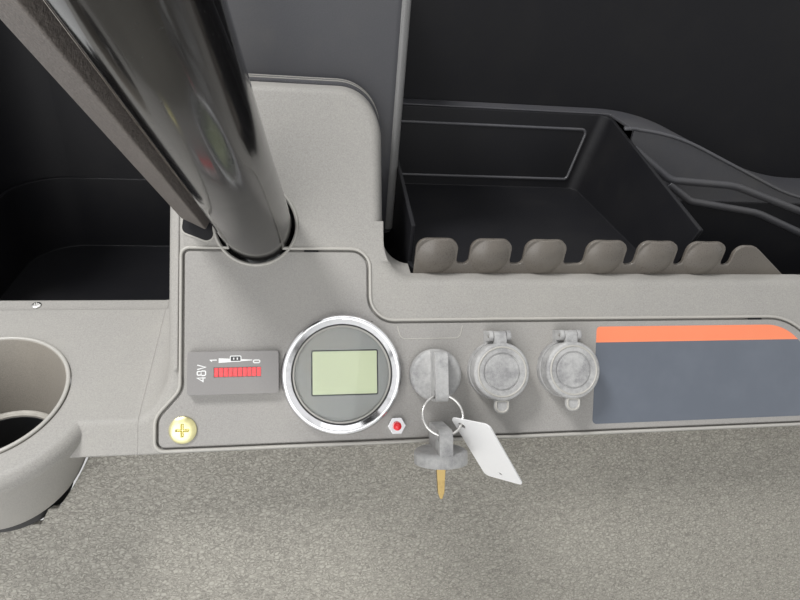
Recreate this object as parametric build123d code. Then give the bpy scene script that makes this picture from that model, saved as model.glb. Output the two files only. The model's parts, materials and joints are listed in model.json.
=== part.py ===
from build123d import *
import os
from math import cos, radians, sin, tan

# Dashboard of a small electric utility cart: moulded pod and beam with cup shelves, an inset
# instrument panel, a scalloped ball rail with its tray, side bins, a steering column and the
# cowl liner that carries them. X is to the passenger side, Y forward, Z up. The origin is the
# middle of the bolt pattern on the rear of the cowl liner, at the height of the round gauge.

# overall layout
WALL = 3.0                 # moulded walls
FIT = 0.3                  # clearance between neighbouring pieces
LINER_FRONT = -3.0         # front face of the cowl liner's back wall
FACE_Y = -303.0            # where the instrument face crosses z = 0
LEAN = 36.0                # the face leans back from vertical
GAUGE_X = -215.0           # gauge centre, left of the middle
HALF_WIDTH = 540.0         # of the cowl liner

# pod and beam
POD_LEFT = GAUGE_X - 117.5
POD_RIGHT = GAUGE_X + 30.5
POD_TOP = 165.0
POD_BACK = -153.0
POD_CORNER = 31.0
BEAM_TOP = 53.0
BEAM_BACK = -253.0
BEAM_END = 210.0
BEAM_CORNER = 50.0
POD_BLEND = 24.0           # concave blend of pod and beam
FACE_FOOT = -50.0          # lower edge of the face, measured along it
FOOT_FLANGE = 66.0         # depth of the flange under the face
EDGE_ROUND = 8.0           # rounding of the front edges
BLEND_DEPTH = 14.0         # the blend of pod and beam runs this far behind the beam

# cup shelves, left and right
CUP_X = 452.6              # each side of the middle
CUP_Y = FACE_Y + 6.8
CUP_R = 49.0
SHELF_Z = -18.8            # shelf height at the cup's centre
SHELF_TILT = 10.0          # the shelf falls towards the driver
SHELF_BACK = -213.0
SHELF_LIP = 14.0           # lowered strip behind the shelf, for the bin's screws
SHELF_DROP = 3.0
SHELF_BLEND = 22.0
SHELF_ROOT = 40.0          # the shelf's form reaches this far into the pod or beam
SHELF_SEAM = 17.5          # seam between the shelf and the housing, outside the pod or beam
BOSS_R = 80.0
BOSS_FOOT_R = 50.0
BOSS_DEPTH = 66.0          # skirt below the shelf at the cup
BOSS_TILT = 20.0           # the skirt's foot falls towards the driver
END_BLEND = 12.0
CUP_LOW_R = 38.0           # the cup's wall tapers from CUP_R to this
CUP_STEP_Z = -68.0
CUP_STEP_R = 33.0
CUP_FLOOR = -112.0
CUP_RIM = 1.0              # rim proud of the shelf

# instrument panel, outline in face coordinates from the gauge centre
PANEL_LEFT = -106.0
PANEL_TOP = 86.0
PANEL_BEAM_TOP = 35.0
PANEL_END = 385.0
PANEL_FOOT = -46.0
PANEL_TOE = -122.0
PANEL_GAP = 1.5
LEDGE_WIDTH = 5.0          # seat behind the panel's rim

# instruments, places in face coordinates
BEZEL_R = 42.0
DIAL_R = 36.0
GAUGE_DEPTH = 36.0
METER_AT = (-73.4, 3.0)
METER_SIZE = (60.0, 29.0)
METER_PROUD = 5.0
METER_DEPTH = 24.0
BAR_SIZE = (31.0, 6.6)
BAR_AT = (2.8, 0.4)
BAR_SEGMENTS = 10
LED_AT = (38.0, -37.0)
LED_NUT = 11.0
LED_R = 3.0
KEY_AT = (65.5, -1.6)
KEY_BARREL_R = 9.25
KEY_DISC_R = 18.2
KEY_DISC = 9.0             # thickness of the key's round dust cap
KEY_GRIP = (9.0, 34.0, 16.0)
KEY_HOLE_AT = (-12.0, 20.0)
KEY_HOLE_R = 3.0
BLADE_SIZE = (6.5, 2.4, 27.0)
RING_R = 13.8
RING_WIRE_R = 0.9
RING_LEAN = 59.0           # the ring leans on the keys, its lower side towards the driver
RING_HANG = 1.0            # wire off the middle of a hole
SPARE_LEAN = 33.0
TAG_SIZE = (32.0, 62.0, 0.8)
TAG_HOLE_R = 2.8
TAG_HOLE_AT = (6.3, 7.0)   # from the tag's upper corner
TAG_TURN = 29.0            # where the tag hangs on the ring, below its right side
TAG_EDGE = (0.585, -0.689, 0.430)
TAG_FACE = (0.628, 0.719, 0.298)
SOCKET_AT = ((111.5, 0.0), (165.0, 0.0))
SOCKET_R = 21.0
SOCKET_NECK_R = 16.0
SOCKET_BODY_R = 14.0
SOCKET_BORE_R = 10.75
SOCKET_BORE_DEPTH = 40.0
SOCKET_COLLAR = 6.0
SOCKET_NECK_TOP = 14.0
CAP_R = 20.5
CAP_TOP = 18.0
CAP_WALL = 2.0
HINGE_AT = 25.0            # hinge axis above the socket's middle
HINGE_H = 12.0             # and off the panel
HINGE_PIN_R = 1.4
PIN_FIT = 0.05
EAR_X = 6.5
EAR_WIDTH = 3.0
TONGUE_WIDTH = 9.0
CAP_LIFT = 1.0
SCREW_AT = (-106.6, -34.8)
SCREW_R = 9.0
SCREW_SHANK_R = 2.5

# ball rail: one row a tab, left and right edge in face coordinates
RAIL_TABS = (
    (54.0, 85.0),
    (94.6, 126.0),
    (136.5, 169.0),
    (185.5, 218.0),
    (227.6, 260.6),
    (269.0, 302.0),
)
RAIL_END = (310.6, 366.0)
RAIL_THICK = 3.0
RAIL_TOP = 81.0
RAIL_NOTCH = 61.0
RAIL_FOOT = 40.0
TAB_CORNER = 8.0
NOTCH_CORNER = 3.8
TAB_BULGE = 4.0

# tray behind the rail
TRAY_LEFT = GAUGE_X + 52.0
TRAY_RIGHT_FLOOR = GAUGE_X + 273.0
TRAY_RIGHT_RIM = GAUGE_X + 296.0
TRAY_BACK_FLOOR = -38.0
TRAY_BACK_RIM = -26.0
TRAY_FLOOR = 38.0
TRAY_RIM_BACK = 117.0
TRAY_RIM_FRONT = 82.0
TRAY_CORNER = 14.0

# rear ledge: falls in an S from LEDGE_Z to LEDGE_LOW
LEDGE_Z = 118.0
LEDGE_LOW = 46.0
LEDGE_BEND = GAUGE_X + 240.0
LEDGE_RUN = 380.0
LEDGE_DEEP = 75.0          # depth to the right of the tray

# riser, liner, bins
RISER_LEFT = GAUGE_X - 110.0
RISER_TOP = 245.0
RISER_FOOT = 36.0
RISER_CORNER = 10.0
LINER_TOP = 250.0
LINER_FOOT = -190.0
LINER_CHEEK = 130.0
LINER_CORNER = 60.0
BIN_FLOOR = -60.0
BIN_CORNER = 18.0
BIN_OUTER_X = HALF_WIDTH - 13.0
BIN_RIM = 22.0
BIN_SWEEP = 50.0
BIN_FRONT_Z = -8.0

# lower panel
LOWER_LEAN = 30.0
LOWER_LENGTH = 250.0
LOWER_END_X = HALF_WIDTH - 20.0
LOWER_FLANGE = 16.0
CUP_CLEAR = 2.0            # gap between the sheet and the cups

# steering column, base on the face and direction up to the wheel
COLUMN_AT = (-59.0, 105.0)
COLUMN_RISE = 41.9
COLUMN_SWAY = 3.1
COVER_R = 23.5
COVER_FOOT_R = 25.3        # the cover widens to this at the face
COVER_FLARE = 110.0        # length of the widening
COVER_WALL = 2.5
COVER_LENGTH = 330.0
JACKET_R = 17.0
JACKET_WALL = 2.5
COLUMN_TAIL = 235.0        # below the face
SHAFT_R = 9.5
SHAFT_FIT = 0.05
SHAFT_PROUD = 55.0
WHEEL_SEAT_R = 9.0
WHEEL_SEAT = 35.0
BUSHING_LENGTH = 18.0
SLOT_R = 27.0
COVER_START = -24.0
CHANNEL_SIZE = (21.0, 32.0)
CHANNEL_START = 10.0
CHANNEL_TURN = 30.0        # the channel sits below the column's outboard side
CHANNEL_DROP = 20.0

# support under the dash
CROSS_R = 16.0
CROSS_WALL = 2.0
CROSS_END = HALF_WIDTH - 70.0
SADDLE_GAP = 6.0
BRACKET_THICK = 4.0
BRACKET_FLANGE = 30.0

# where strangers bolt it
BOLT_X = HALF_WIDTH - 90.0
BOLT_Z = (-120.0, 120.0)
BOLT_R = 4.5

S = sin(radians(LEAN))
C = cos(radians(LEAN))
FLANGE_BACK = FACE_Y + FACE_FOOT * S + FOOT_FLANGE
FACE = Plane(origin=(GAUGE_X, FACE_Y, 0), x_dir=(1, 0, 0), z_dir=(0, -C, S))


def on_face(u, v, h=0.0):
    """Location on the instrument face: u right, v up along it, h proud of it."""
    return FACE.location * Pos(u, v, h)


def outline(corners):
    """Closed face through (x, y, radius) corners, each rounded by a tangent arc."""
    count = len(corners)
    stretches = []
    for i, (x, y, r) in enumerate(corners):
        here = Vector(x, y)
        to_last = (Vector(*corners[i - 1][:2]) - here).normalized()
        to_next = (Vector(*corners[(i + 1) % count][:2]) - here).normalized()
        half = radians(to_last.get_angle(to_next)) / 2
        if r <= 0:
            stretches.append((here, None, here))
            continue
        reach = r / tan(half)
        middle = here + (to_last + to_next).normalized() * (r / sin(half) - r)
        stretches.append((here + to_last * reach, middle, here + to_next * reach))
    edges = []
    for i, (start, middle, end) in enumerate(stretches):
        if middle is not None:
            edges.append(ThreePointArc(start, middle, end))
        following = stretches[(i + 1) % count][0]
        if (following - end).length > 1e-4:
            edges.append(Line(end, following))
    return make_face(edges)


def along_y(sketch, start, end):
    """Solid of an X-Z sketch between two Y planes."""
    return extrude(Plane.XZ.offset(-start).location * sketch, amount=start - end)


def along_x(sketch, start, end):
    """Solid of a Y-Z sketch between two X planes."""
    return extrude(Plane.YZ.offset(start).location * sketch, amount=end - start)


def along_z(sketch, start, end):
    """Solid of an X-Y sketch between two Z planes."""
    return extrude(Pos(0, 0, start) * sketch, amount=end - start)


def off_face(sketch, low, high):
    """Solid of a sketch drawn in face coordinates, from low to high off the face."""
    return extrude(FACE.location * Pos(0, 0, low) * sketch, amount=high - low)


def block(x0, x1, y0, y1, z0, z1):
    """Box between named limits."""
    return Pos((x0 + x1) / 2, (y0 + y1) / 2, (z0 + z1) / 2) * Box(x1 - x0, y1 - y0, z1 - z0)


def behind_face(solid, inset):
    """Cut a solid back to the instrument face, moved in by inset."""
    plane = Plane(origin=FACE.origin - FACE.z_dir * inset, x_dir=FACE.x_dir, z_dir=FACE.z_dir)
    return split(solid, bisect_by=plane, keep=Keep.BOTTOM)


def lies_in(edge, plane):
    """Whether both ends and the middle of an edge are in a plane."""
    return all(abs((edge.position_at(t) - plane.origin).dot(plane.z_dir)) < 1e-3 for t in (0, 0.5, 1))


def rounded_front(form, inset, left, right):
    """Form with its front edges rounded where their middles are between two X limits and above the foot."""
    plane = Plane(origin=FACE.origin - FACE.z_dir * inset, x_dir=FACE.x_dir, z_dir=FACE.z_dir)
    low = FACE_FOOT * C + inset + FIT
    edges = [e for e in form.edges() if lies_in(e, plane)]
    edges = [e for e in edges if e.position_at(0.5).Z > low and left < e.position_at(0.5).X < right]
    return fillet(edges, EDGE_ROUND - inset)


def shelf_plane(inset):
    """Plane of the cup shelves' tops, moved down by inset."""
    tilt = radians(SHELF_TILT)
    return Plane(origin=(0, CUP_Y, SHELF_Z - inset), x_dir=(1, 0, 0), z_dir=(0, -sin(tilt), cos(tilt)))


def pod_and_beam(inset):
    """Pod and beam as one solid form, all walls moved in by inset."""
    left = POD_LEFT + inset
    right = POD_RIGHT - inset
    top = BEAM_TOP - inset
    low = FACE_FOOT * C + inset
    corner = POD_CORNER - inset
    blend = POD_BLEND + inset
    end = BEAM_END - inset
    front = FACE_Y - 60
    pod = outline((
        (left, low, 0), (left, POD_TOP - inset, corner), (right, POD_TOP - inset, corner), (right, low, 0),
    ))
    beam = outline((
        (left + corner, low, 0), (left + corner, top + 2 * blend, 0), (right, top + 2 * blend, 0),
        (right, top, blend), (end, top, BEAM_CORNER - inset), (end, low, 0),
    ))
    web = along_y(beam, BEAM_BACK - WALL, BEAM_BACK + BLEND_DEPTH)
    web &= block(left, TRAY_LEFT - FIT - inset, front, POD_BACK, low, POD_TOP)
    web = behind_face(web, inset)
    pod = behind_face(along_y(pod, front, POD_BACK), inset)
    beam = behind_face(along_y(beam, front, BEAM_BACK), inset)
    pod = rounded_front(pod, inset, -HALF_WIDTH, HALF_WIDTH)
    return pod + rounded_front(beam, inset, right - FIT, HALF_WIDTH) + web


def boss_cone(side, inset):
    """Tapered form round the cup, cut off at the shelf's plane."""
    taper = (BOSS_R - BOSS_FOOT_R) / BOSS_DEPTH
    over = BOSS_R / 4
    foot = BOSS_DEPTH + over
    cone = Cone(BOSS_R - inset - taper * foot, BOSS_R - inset + taper * over, foot + over)
    cone = Pos(side * CUP_X, CUP_Y, SHELF_Z + (over - foot) / 2) * cone
    return split(cone, bisect_by=shelf_plane(inset), keep=Keep.BOTTOM)


def boss(side, inset):
    """Boss round the cup with its upper edge rounded."""
    cone = boss_cone(side, inset)
    return fillet([e for e in cone.edges() if lies_in(e, shelf_plane(inset))], EDGE_ROUND - inset)


def shelf(side, inset):
    """Cup shelf as one solid form: a tilted slab beside the pod or beam, its lowered rear strip, and the boss."""
    left = side < 0
    inner = POD_LEFT if left else BEAM_END
    blend = SHELF_BLEND if left else END_BLEND
    outer = side * (CUP_X + BOSS_R - inset)
    wall = inner - side * inset
    root = wall - side * SHELF_ROOT
    cup = side * CUP_X
    front = CUP_Y - 2 * BOSS_R
    foot = FACE_FOOT * C + inset

    def slab(plane, reach):
        """Slab under a tilted plane, within a reach in plan."""
        section = outline((
            (outer, -BOSS_R, 0), (outer, 0, EDGE_ROUND - inset), (wall, 0, blend + inset),
            (wall, blend + inset + 2, 0), (root, blend + inset + 2, 0), (root, -BOSS_R, 0),
        ))
        upright = Plane(plane.origin, plane.x_dir, -plane.y_dir)
        return extrude(upright.location * section, amount=300, both=True) & along_z(reach, foot, 200)

    back = SHELF_BACK - inset
    main = slab(shelf_plane(inset), outline((
        (outer, back, 0), (outer, CUP_Y, 0), (cup, CUP_Y, 0), (cup, front, 0), (root, front, 0), (root, back, 0),
    )))
    strip = slab(shelf_plane(inset + SHELF_DROP), outline((
        (outer, back - WALL, 0), (root, back - WALL, 0),
        (root, SHELF_BACK + SHELF_LIP, 0), (outer, SHELF_BACK + SHELF_LIP, 0),
    )))
    ends = sorted((side * (CUP_X - 1), wall - side * FIT))
    return rounded_front(behind_face(main, inset), inset, *ends) + strip + boss(side, inset)


def cup_wall(side, grow):
    """Tapered form of the cup's hole, grown outwards."""
    taper = (CUP_R - CUP_LOW_R) / (SHELF_Z - CUP_STEP_Z)
    high = SHELF_Z - CUP_STEP_Z + WALL * 8
    wall = Cone(CUP_LOW_R + grow, CUP_LOW_R + grow + taper * high, high)
    return Pos(side * CUP_X, CUP_Y, CUP_STEP_Z + high / 2) * wall


def panel_outline(grow):
    """Outline of the instrument panel, grown outwards."""
    cx, cy = COLUMN_AT
    sheet = outline((
        (PANEL_TOE - grow, PANEL_FOOT - grow, 4 + grow),
        (PANEL_TOE - grow, -27 + grow * 0.4, 12 + grow),
        (PANEL_LEFT - grow, -9 + grow * 0.4, 14 - grow * 0.5),
        (PANEL_LEFT - grow, PANEL_TOP + grow, 3 + grow),
        (18 + grow, PANEL_TOP + grow, 11 + grow),
        (18 + grow, PANEL_BEAM_TOP + grow, 20 - grow),
        (PANEL_END + grow, PANEL_BEAM_TOP + grow, 45 + grow),
        (PANEL_END + grow, PANEL_FOOT - grow, 4 + grow),
    ))
    return sheet - Pos(cx, cy) * Circle(SLOT_R - grow)


def dash_shell():
    """Thin shell of the pod, the beam, both cup shelves and their bosses, open behind and below."""
    at_screw = Pos(*SCREW_AT) * Circle(SCREW_R + 3)
    window = panel_outline(-LEDGE_WIDTH) - at_screw
    seat = panel_outline(PANEL_GAP + WALL) - window
    seat -= Pos(*SCREW_AT) * Circle(SCREW_SHANK_R + FIT / 3)
    hollow = pod_and_beam(WALL) + shelf(-1, WALL) + shelf(1, WALL) - off_face(seat, -2 * WALL, 0)
    body = pod_and_beam(0) + shelf(-1, 0) + shelf(1, 0) - hollow
    body -= block(-HALF_WIDTH, HALF_WIDTH, FLANGE_BACK, 0, -HALF_WIDTH, FACE_FOOT * C + WALL)
    tilt = radians(BOSS_TILT)
    skirt_foot = Plane(origin=(0, CUP_Y, SHELF_Z - BOSS_DEPTH), z_dir=(0, -sin(tilt), cos(tilt)))
    body = split(body, bisect_by=skirt_foot, keep=Keep.TOP)
    body -= cup_wall(-1, WALL + FIT) + cup_wall(1, WALL + FIT)
    body -= off_face(panel_outline(PANEL_GAP), -WALL, 20)
    body -= off_face(window, -2 * WALL - 1, 0)
    body -= on_face(*COLUMN_AT) * Cylinder(SLOT_R, 60)
    half = BEZEL_R + 1
    low = FACE_FOOT * C
    body -= block(GAUGE_X - half, GAUGE_X + half, FACE_Y - BEZEL_R * C + 16, 0, low - 5, low + WALL + 0.5)
    return body


def dash_mouldings():
    """Housing of pod and beam between its seams, and the left and right cup shelf beyond them."""
    shell = dash_shell()
    left = Plane.YZ.offset(POD_LEFT - SHELF_SEAM)
    right = Plane.YZ.offset(BEAM_END + SHELF_SEAM)
    housing = split(split(shell, bisect_by=left, keep=Keep.TOP), bisect_by=right, keep=Keep.BOTTOM)
    return housing, split(shell, bisect_by=left, keep=Keep.BOTTOM), split(shell, bisect_by=right, keep=Keep.TOP)


def instrument_panel():
    """Inset sheet with its instrument holes."""
    sheet = off_face(panel_outline(0), -WALL, 0)
    sheet -= on_face(*METER_AT) * Box(METER_SIZE[0] - 6 + FIT, METER_SIZE[1] - 6 + FIT, 20)
    sheet -= on_face(0, 0) * Cylinder(BEZEL_R - 3 + FIT, 20)
    sheet -= on_face(*LED_AT) * Cylinder(LED_R + FIT, 20)
    sheet -= on_face(*KEY_AT) * Cylinder(KEY_BARREL_R + FIT, 20)
    sheet -= on_face(*SCREW_AT) * Cylinder(SCREW_SHANK_R + FIT, 20)
    for place in SOCKET_AT:
        sheet -= on_face(*place) * Cylinder(SOCKET_BODY_R + FIT, 20)
    return sheet


def rail_outline():
    """Edge of the ball rail in X and Z: rounded tabs, narrow notches and a falling end."""
    corners = [(GAUGE_X + RAIL_TABS[0][0], RAIL_FOOT, 0)]
    last = len(RAIL_TABS) - 1
    for i, (left, right) in enumerate(RAIL_TABS):
        if i:
            corners.append((GAUGE_X + left, RAIL_NOTCH, NOTCH_CORNER))
        corners.append((GAUGE_X + left, RAIL_TOP, TAB_CORNER))
        corners.append((GAUGE_X + right, RAIL_TOP, TAB_CORNER))
        corners.append((GAUGE_X + right, RAIL_NOTCH, NOTCH_CORNER))
    left, right = (GAUGE_X + u for u in RAIL_END)
    corners += [
        (left, RAIL_NOTCH, NOTCH_CORNER), (left, RAIL_TOP - 3, TAB_CORNER), (left + 17, RAIL_TOP - 3, 12),
        (right, BEAM_TOP - 2, 6), (right, RAIL_FOOT, 0),
    ]
    return outline(corners)


def ball_rail():
    """Scalloped strip with a dished tab in front of each ball."""
    sheet = rail_outline()
    front = BEAM_BACK
    rail = along_y(sheet, front, front + RAIL_THICK)
    reach = along_y(sheet, front - TAB_BULGE - 1, front + RAIL_THICK)
    for left, right in RAIL_TABS:
        half = (right - left) / 2 - 1
        ball = (half * half + TAB_BULGE * TAB_BULGE) / (2 * TAB_BULGE)
        middle = Pos(GAUGE_X + (left + right) / 2, front + ball - TAB_BULGE, (RAIL_TOP + BEAM_TOP) / 2)
        above = block(-HALF_WIDTH, HALF_WIDTH, front - 20, front + 1, BEAM_TOP + FIT, RAIL_TOP)
        rail += (middle * Sphere(ball)) & reach & above
        rail -= middle * Sphere(ball - RAIL_THICK)
    return rail


def tray():
    """Open tray with sloping right and back walls, its front low behind the ball rail."""
    front = BEAM_BACK + RAIL_THICK
    top = TRAY_RIM_BACK + 10
    rise = (top - TRAY_FLOOR) / (TRAY_RIM_BACK - TRAY_FLOOR)

    def form(inset):
        """Tapered block, its walls moved in by inset."""
        x0 = TRAY_LEFT + inset
        y0 = front + inset
        low = (TRAY_RIGHT_FLOOR + WALL - inset, TRAY_BACK_FLOOR + WALL - inset)
        run = (TRAY_RIGHT_RIM - TRAY_RIGHT_FLOOR, TRAY_BACK_RIM - TRAY_BACK_FLOOR)
        high = (low[0] + run[0] * rise, low[1] + run[1] * rise)
        sections = []
        for z, (x1, y1) in ((TRAY_FLOOR - WALL + inset, low), (top, high)):
            r = TRAY_CORNER - inset
            sections.append(Pos(0, 0, z) * outline(((x0, y0, r), (x1, y0, r), (x1, y1, r), (x0, y1, r))))
        return loft(sections)

    body = form(0) - form(WALL)
    fall = (TRAY_RIM_BACK - TRAY_RIM_FRONT) / (TRAY_BACK_RIM - front)
    rim = Plane(origin=(0, TRAY_BACK_RIM + WALL, TRAY_RIM_BACK), x_dir=(1, 0, 0), z_dir=(0, -fall, 1))
    body = split(body, bisect_by=rim, keep=Keep.BOTTOM)
    return body - block(-HALF_WIDTH, HALF_WIDTH, front - 1, front + TRAY_CORNER, BEAM_TOP, top)


def ledge_band(low=None):
    """X-Z band under the ledge's S-shaped top line, a wall thick or down to a level."""
    left = TRAY_LEFT
    right = HALF_WIDTH
    quarter = LEDGE_RUN / 4
    bend = LEDGE_RUN / 2 * 1.35
    above = ((left, LEDGE_Z, 0), (LEDGE_BEND + quarter, LEDGE_Z, bend),
             (LEDGE_BEND + 3 * quarter, LEDGE_LOW, bend), (right, LEDGE_LOW, 0))
    if low is not None:
        return outline(above + ((right, low, 0), (left, low, 0)))
    below = tuple((x, z - WALL, r) for x, z, r in reversed(above))
    return outline(above + below)


def liner_plan(inset):
    """Plan of the cowl liner's outside, moved in by inset, open end cut square."""
    side = HALF_WIDTH - inset
    front = LINER_FRONT - LINER_CHEEK
    r = LINER_CORNER - inset
    return outline(((-side, front, 0), (side, front, 0), (side, -inset, r), (-side, -inset, r)))


def cowl_liner():
    """Back wall with a cheek at each end."""
    wall = along_z(liner_plan(0), LINER_FOOT, LINER_TOP)
    mouth = Pos(0, LINER_FRONT - LINER_CHEEK) * Rectangle(2 * HALF_WIDTH - 2 * WALL, 20)
    wall -= along_z(liner_plan(WALL) + mouth, LINER_FOOT - 1, LINER_TOP + 1)
    for x in (-BOLT_X, BOLT_X):
        for z in BOLT_Z:
            wall -= Pos(x, 0, z) * Rot(90, 0, 0) * Cylinder(BOLT_R, 20)
    return wall


def rear_ledge():
    """Ledge behind the tray and bin, falling in an S to the passenger side, with a front apron."""
    step = TRAY_BACK_RIM + WALL + FIT
    deep = LINER_FRONT - LEDGE_DEEP
    beside = TRAY_RIGHT_RIM + WALL + 2 * FIT
    top = along_y(ledge_band(), deep, LINER_FRONT)
    top -= block(-HALF_WIDTH, beside, deep - 1, step, 0, LEDGE_Z + 1)
    apron = along_y(ledge_band(LEDGE_LOW - WALL), deep, deep + WALL)
    apron -= block(-HALF_WIDTH, beside, deep - 1, 0, 0, LEDGE_Z + 1)
    room = along_z(liner_plan(WALL), 0, LEDGE_Z + 1)
    return (top + apron) & room


def riser():
    """Raised housing behind the pod, open behind and below."""
    def form(inset):
        """Closed block, its walls moved in by inset."""
        r = RISER_CORNER - inset
        x0, x1 = RISER_LEFT + inset, TRAY_LEFT - inset
        y0 = POD_BACK + inset
        plan = outline(((x0, y0, r), (x1, y0, r), (x1, LINER_FRONT, 0), (x0, LINER_FRONT, 0)))
        return along_z(plan, RISER_FOOT - inset, RISER_TOP - inset)

    return form(0) - form(WALL)


def bin_body(plan, inner_plan, rim):
    """Open bin from its outer and inner plan."""
    return along_z(plan, BIN_FLOOR, rim) - along_z(inner_plan, BIN_FLOOR + WALL, rim + 1)


def left_bin():
    """Bin behind the driver's cup shelf."""
    def plan(inset):
        """Plan of the walls moved in by inset."""
        x0, x1 = -BIN_OUTER_X + inset, POD_LEFT - WALL - inset
        y0, y1 = SHELF_BACK + SHELF_LIP + FIT + inset, LINER_FRONT - inset
        r = BIN_CORNER - inset
        return outline(((x0, y0, r), (x1, y0, r), (x1, y1, r), (x0, y1, BIN_SWEEP - inset)))

    body = bin_body(plan(0), plan(WALL), BIN_RIM)
    front = SHELF_BACK + SHELF_LIP
    return body - block(-HALF_WIDTH, 0, front, front + BIN_CORNER, BIN_FRONT_Z, BIN_RIM + 1)


def right_bin():
    """Bin behind the beam's end and the passenger's cup shelf, below the ledge's apron."""
    def plan(inset):
        """Plan of the walls moved in by inset."""
        x0, x1 = TRAY_RIGHT_RIM + 4 + inset, BIN_OUTER_X - inset
        step = BEAM_END - 4 - inset
        y0, y1 = BEAM_BACK + RAIL_THICK + FIT + inset, SHELF_BACK + SHELF_LIP + FIT + inset
        y2 = LINER_FRONT - LEDGE_DEEP + WALL - inset
        r = BIN_CORNER - inset
        return outline(((x0, y0, r), (step, y0, 2), (step, y1, 2), (x1, y1, r), (x1, y2, r), (x0, y2, r)))

    body = bin_body(plan(0), plan(WALL), LEDGE_LOW - WALL - FIT)
    front = SHELF_BACK + SHELF_LIP
    return body - block(TRAY_RIGHT_RIM + 20, HALF_WIDTH, BEAM_BACK, front + BIN_CORNER, BIN_FRONT_Z, LEDGE_LOW)


def cup_ring(side):
    """Tapered wall set into the shelf, its rim a little proud."""
    ring = cup_wall(side, WALL) - cup_wall(side, 0)
    return split(ring, bisect_by=shelf_plane(-CUP_RIM), keep=Keep.BOTTOM)


def cup_holder(side):
    """Drop-in cup under the ring: a stepped flange, slotted walls and a floor."""
    top = CUP_STEP_Z - FIT
    deep = top - CUP_FLOOR
    cup = Pos(0, 0, top - WALL / 2) * Cylinder(CUP_LOW_R + WALL, WALL)
    cup += Pos(0, 0, top - deep / 2) * Cylinder(CUP_STEP_R + WALL, deep)
    cup -= Pos(0, 0, top - deep / 2 + WALL) * Cylinder(CUP_STEP_R, deep)
    for turn in range(0, 360, 90):
        cup -= Rot(0, 0, turn + 45) * Pos(CUP_STEP_R, 0, top - 18) * Box(20, 6, 22)
    return Pos(side * CUP_X, CUP_Y, 0) * cup


def lower_panel():
    """Textured sheet below the face, coming towards the driver as it falls."""
    top = FACE_FOOT * C - WALL / 2
    y = FLANGE_BACK - LOWER_FLANGE
    lean = radians(LOWER_LEAN)
    foot = (y - LOWER_LENGTH * sin(lean), top - LOWER_LENGTH * cos(lean))
    line = Polyline((y + LOWER_FLANGE, top), (y, top), foot)
    sheet = offset(line, WALL / 2, kind=Kind.ARC, side=Side.BOTH)
    body = along_x(make_face(sheet), -LOWER_END_X, LOWER_END_X)
    for side in (-1, 1):
        body -= boss_cone(side, -CUP_CLEAR)
        body -= Pos(side * CUP_X, CUP_Y, 0) * Cylinder(CUP_STEP_R + WALL + CUP_CLEAR, 2 * (CUP_CLEAR - CUP_FLOOR))
        x0, x1 = sorted((side * CUP_X, side * HALF_WIDTH))
        body -= block(x0, x1, foot[0], FLANGE_BACK + WALL, SHELF_Z - BOSS_DEPTH, top + WALL)
    return body


def battery_meter():
    """Rectangular meter: a proud front and the body behind the panel."""
    width, height = METER_SIZE
    front = outline(((-width / 2, -height / 2, 2), (width / 2, -height / 2, 2), (width / 2, height / 2, 2),
                     (-width / 2, height / 2, 2)))
    case = on_face(*METER_AT) * extrude(front, amount=METER_PROUD)
    case += on_face(*METER_AT, -METER_DEPTH / 2) * Box(width - 6, height - 6, METER_DEPTH)
    return case - on_face(METER_AT[0] + BAR_AT[0], METER_AT[1] + BAR_AT[1], METER_PROUD) * Box(*BAR_SIZE, 2)


def meter_bar():
    """Row of lamp segments in the meter's front."""
    pitch = BAR_SIZE[0] / BAR_SEGMENTS
    row = on_face(METER_AT[0] + BAR_AT[0], METER_AT[1] + BAR_AT[1], METER_PROUD - 0.6)
    segment = Box(pitch - 0.5, BAR_SIZE[1] - 0.6, 0.8)
    return Compound([row * Pos((i + 0.5 - BAR_SEGMENTS / 2) * pitch, 0, 0) * segment for i in range(BAR_SEGMENTS)])


def gauge_case():
    """Round case behind the panel with two studs."""
    case = on_face(0, 0, -GAUGE_DEPTH / 2) * Cylinder(BEZEL_R - 3, GAUGE_DEPTH)
    case -= on_face(0, 0, -GAUGE_DEPTH / 2 + WALL) * Cylinder(BEZEL_R - 5, GAUGE_DEPTH)
    for u in (-22, 22):
        case += on_face(u, 0, -GAUGE_DEPTH - 9) * Cylinder(2, 18)
    return case


def gauge_bezel():
    """Rolled ring round the dial."""
    rolled = outline(((BEZEL_R - 3, 0, 0), (BEZEL_R, 0, 0), (BEZEL_R, 5, 3), (BEZEL_R - 2.5, 8, 2),
                      (DIAL_R - 1, 4.5, 1), (DIAL_R - 1, 3, 0), (BEZEL_R - 3, 3, 0)))
    ring = revolve(Plane.XZ.location * rolled, Axis.Z)
    return FACE.location * ring


def gauge_dial():
    """Dial with its display window."""
    dial = on_face(0, 0, 0.5) * Cylinder(BEZEL_R - 5.3, 1)
    return dial - on_face(2, 1, 1) * Box(46, 31, 1)


def gauge_display():
    """Display sheet let into the dial."""
    return on_face(2, 1, 0.75) * Box(45.6, 30.6, 0.5)


def gauge_glass():
    """Cover glass under the rolled edge."""
    return on_face(0, 0, 2.2) * Cylinder(BEZEL_R - 5.3, 1.4)


def indicator():
    """Hexagon nut and lens of the warning lamp."""
    nut = on_face(*LED_AT) * extrude(RegularPolygon(LED_NUT / 2, 6, major_radius=False), amount=4)
    nut -= on_face(*LED_AT) * Cylinder(LED_R + PIN_FIT, 20)
    lens = on_face(*LED_AT, -0.5) * Cylinder(LED_R, 13)
    lens += on_face(*LED_AT, 6) * Sphere(LED_R)
    return nut, lens


def key_switch():
    """Lock barrel with its front ring and rear body."""
    barrel = on_face(*KEY_AT, -20) * Cylinder(KEY_BARREL_R, 40)
    barrel += on_face(*KEY_AT, 1.5) * Cylinder(13, 3)
    barrel += on_face(*KEY_AT, -30) * Cylinder(14, 14)
    return barrel


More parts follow.
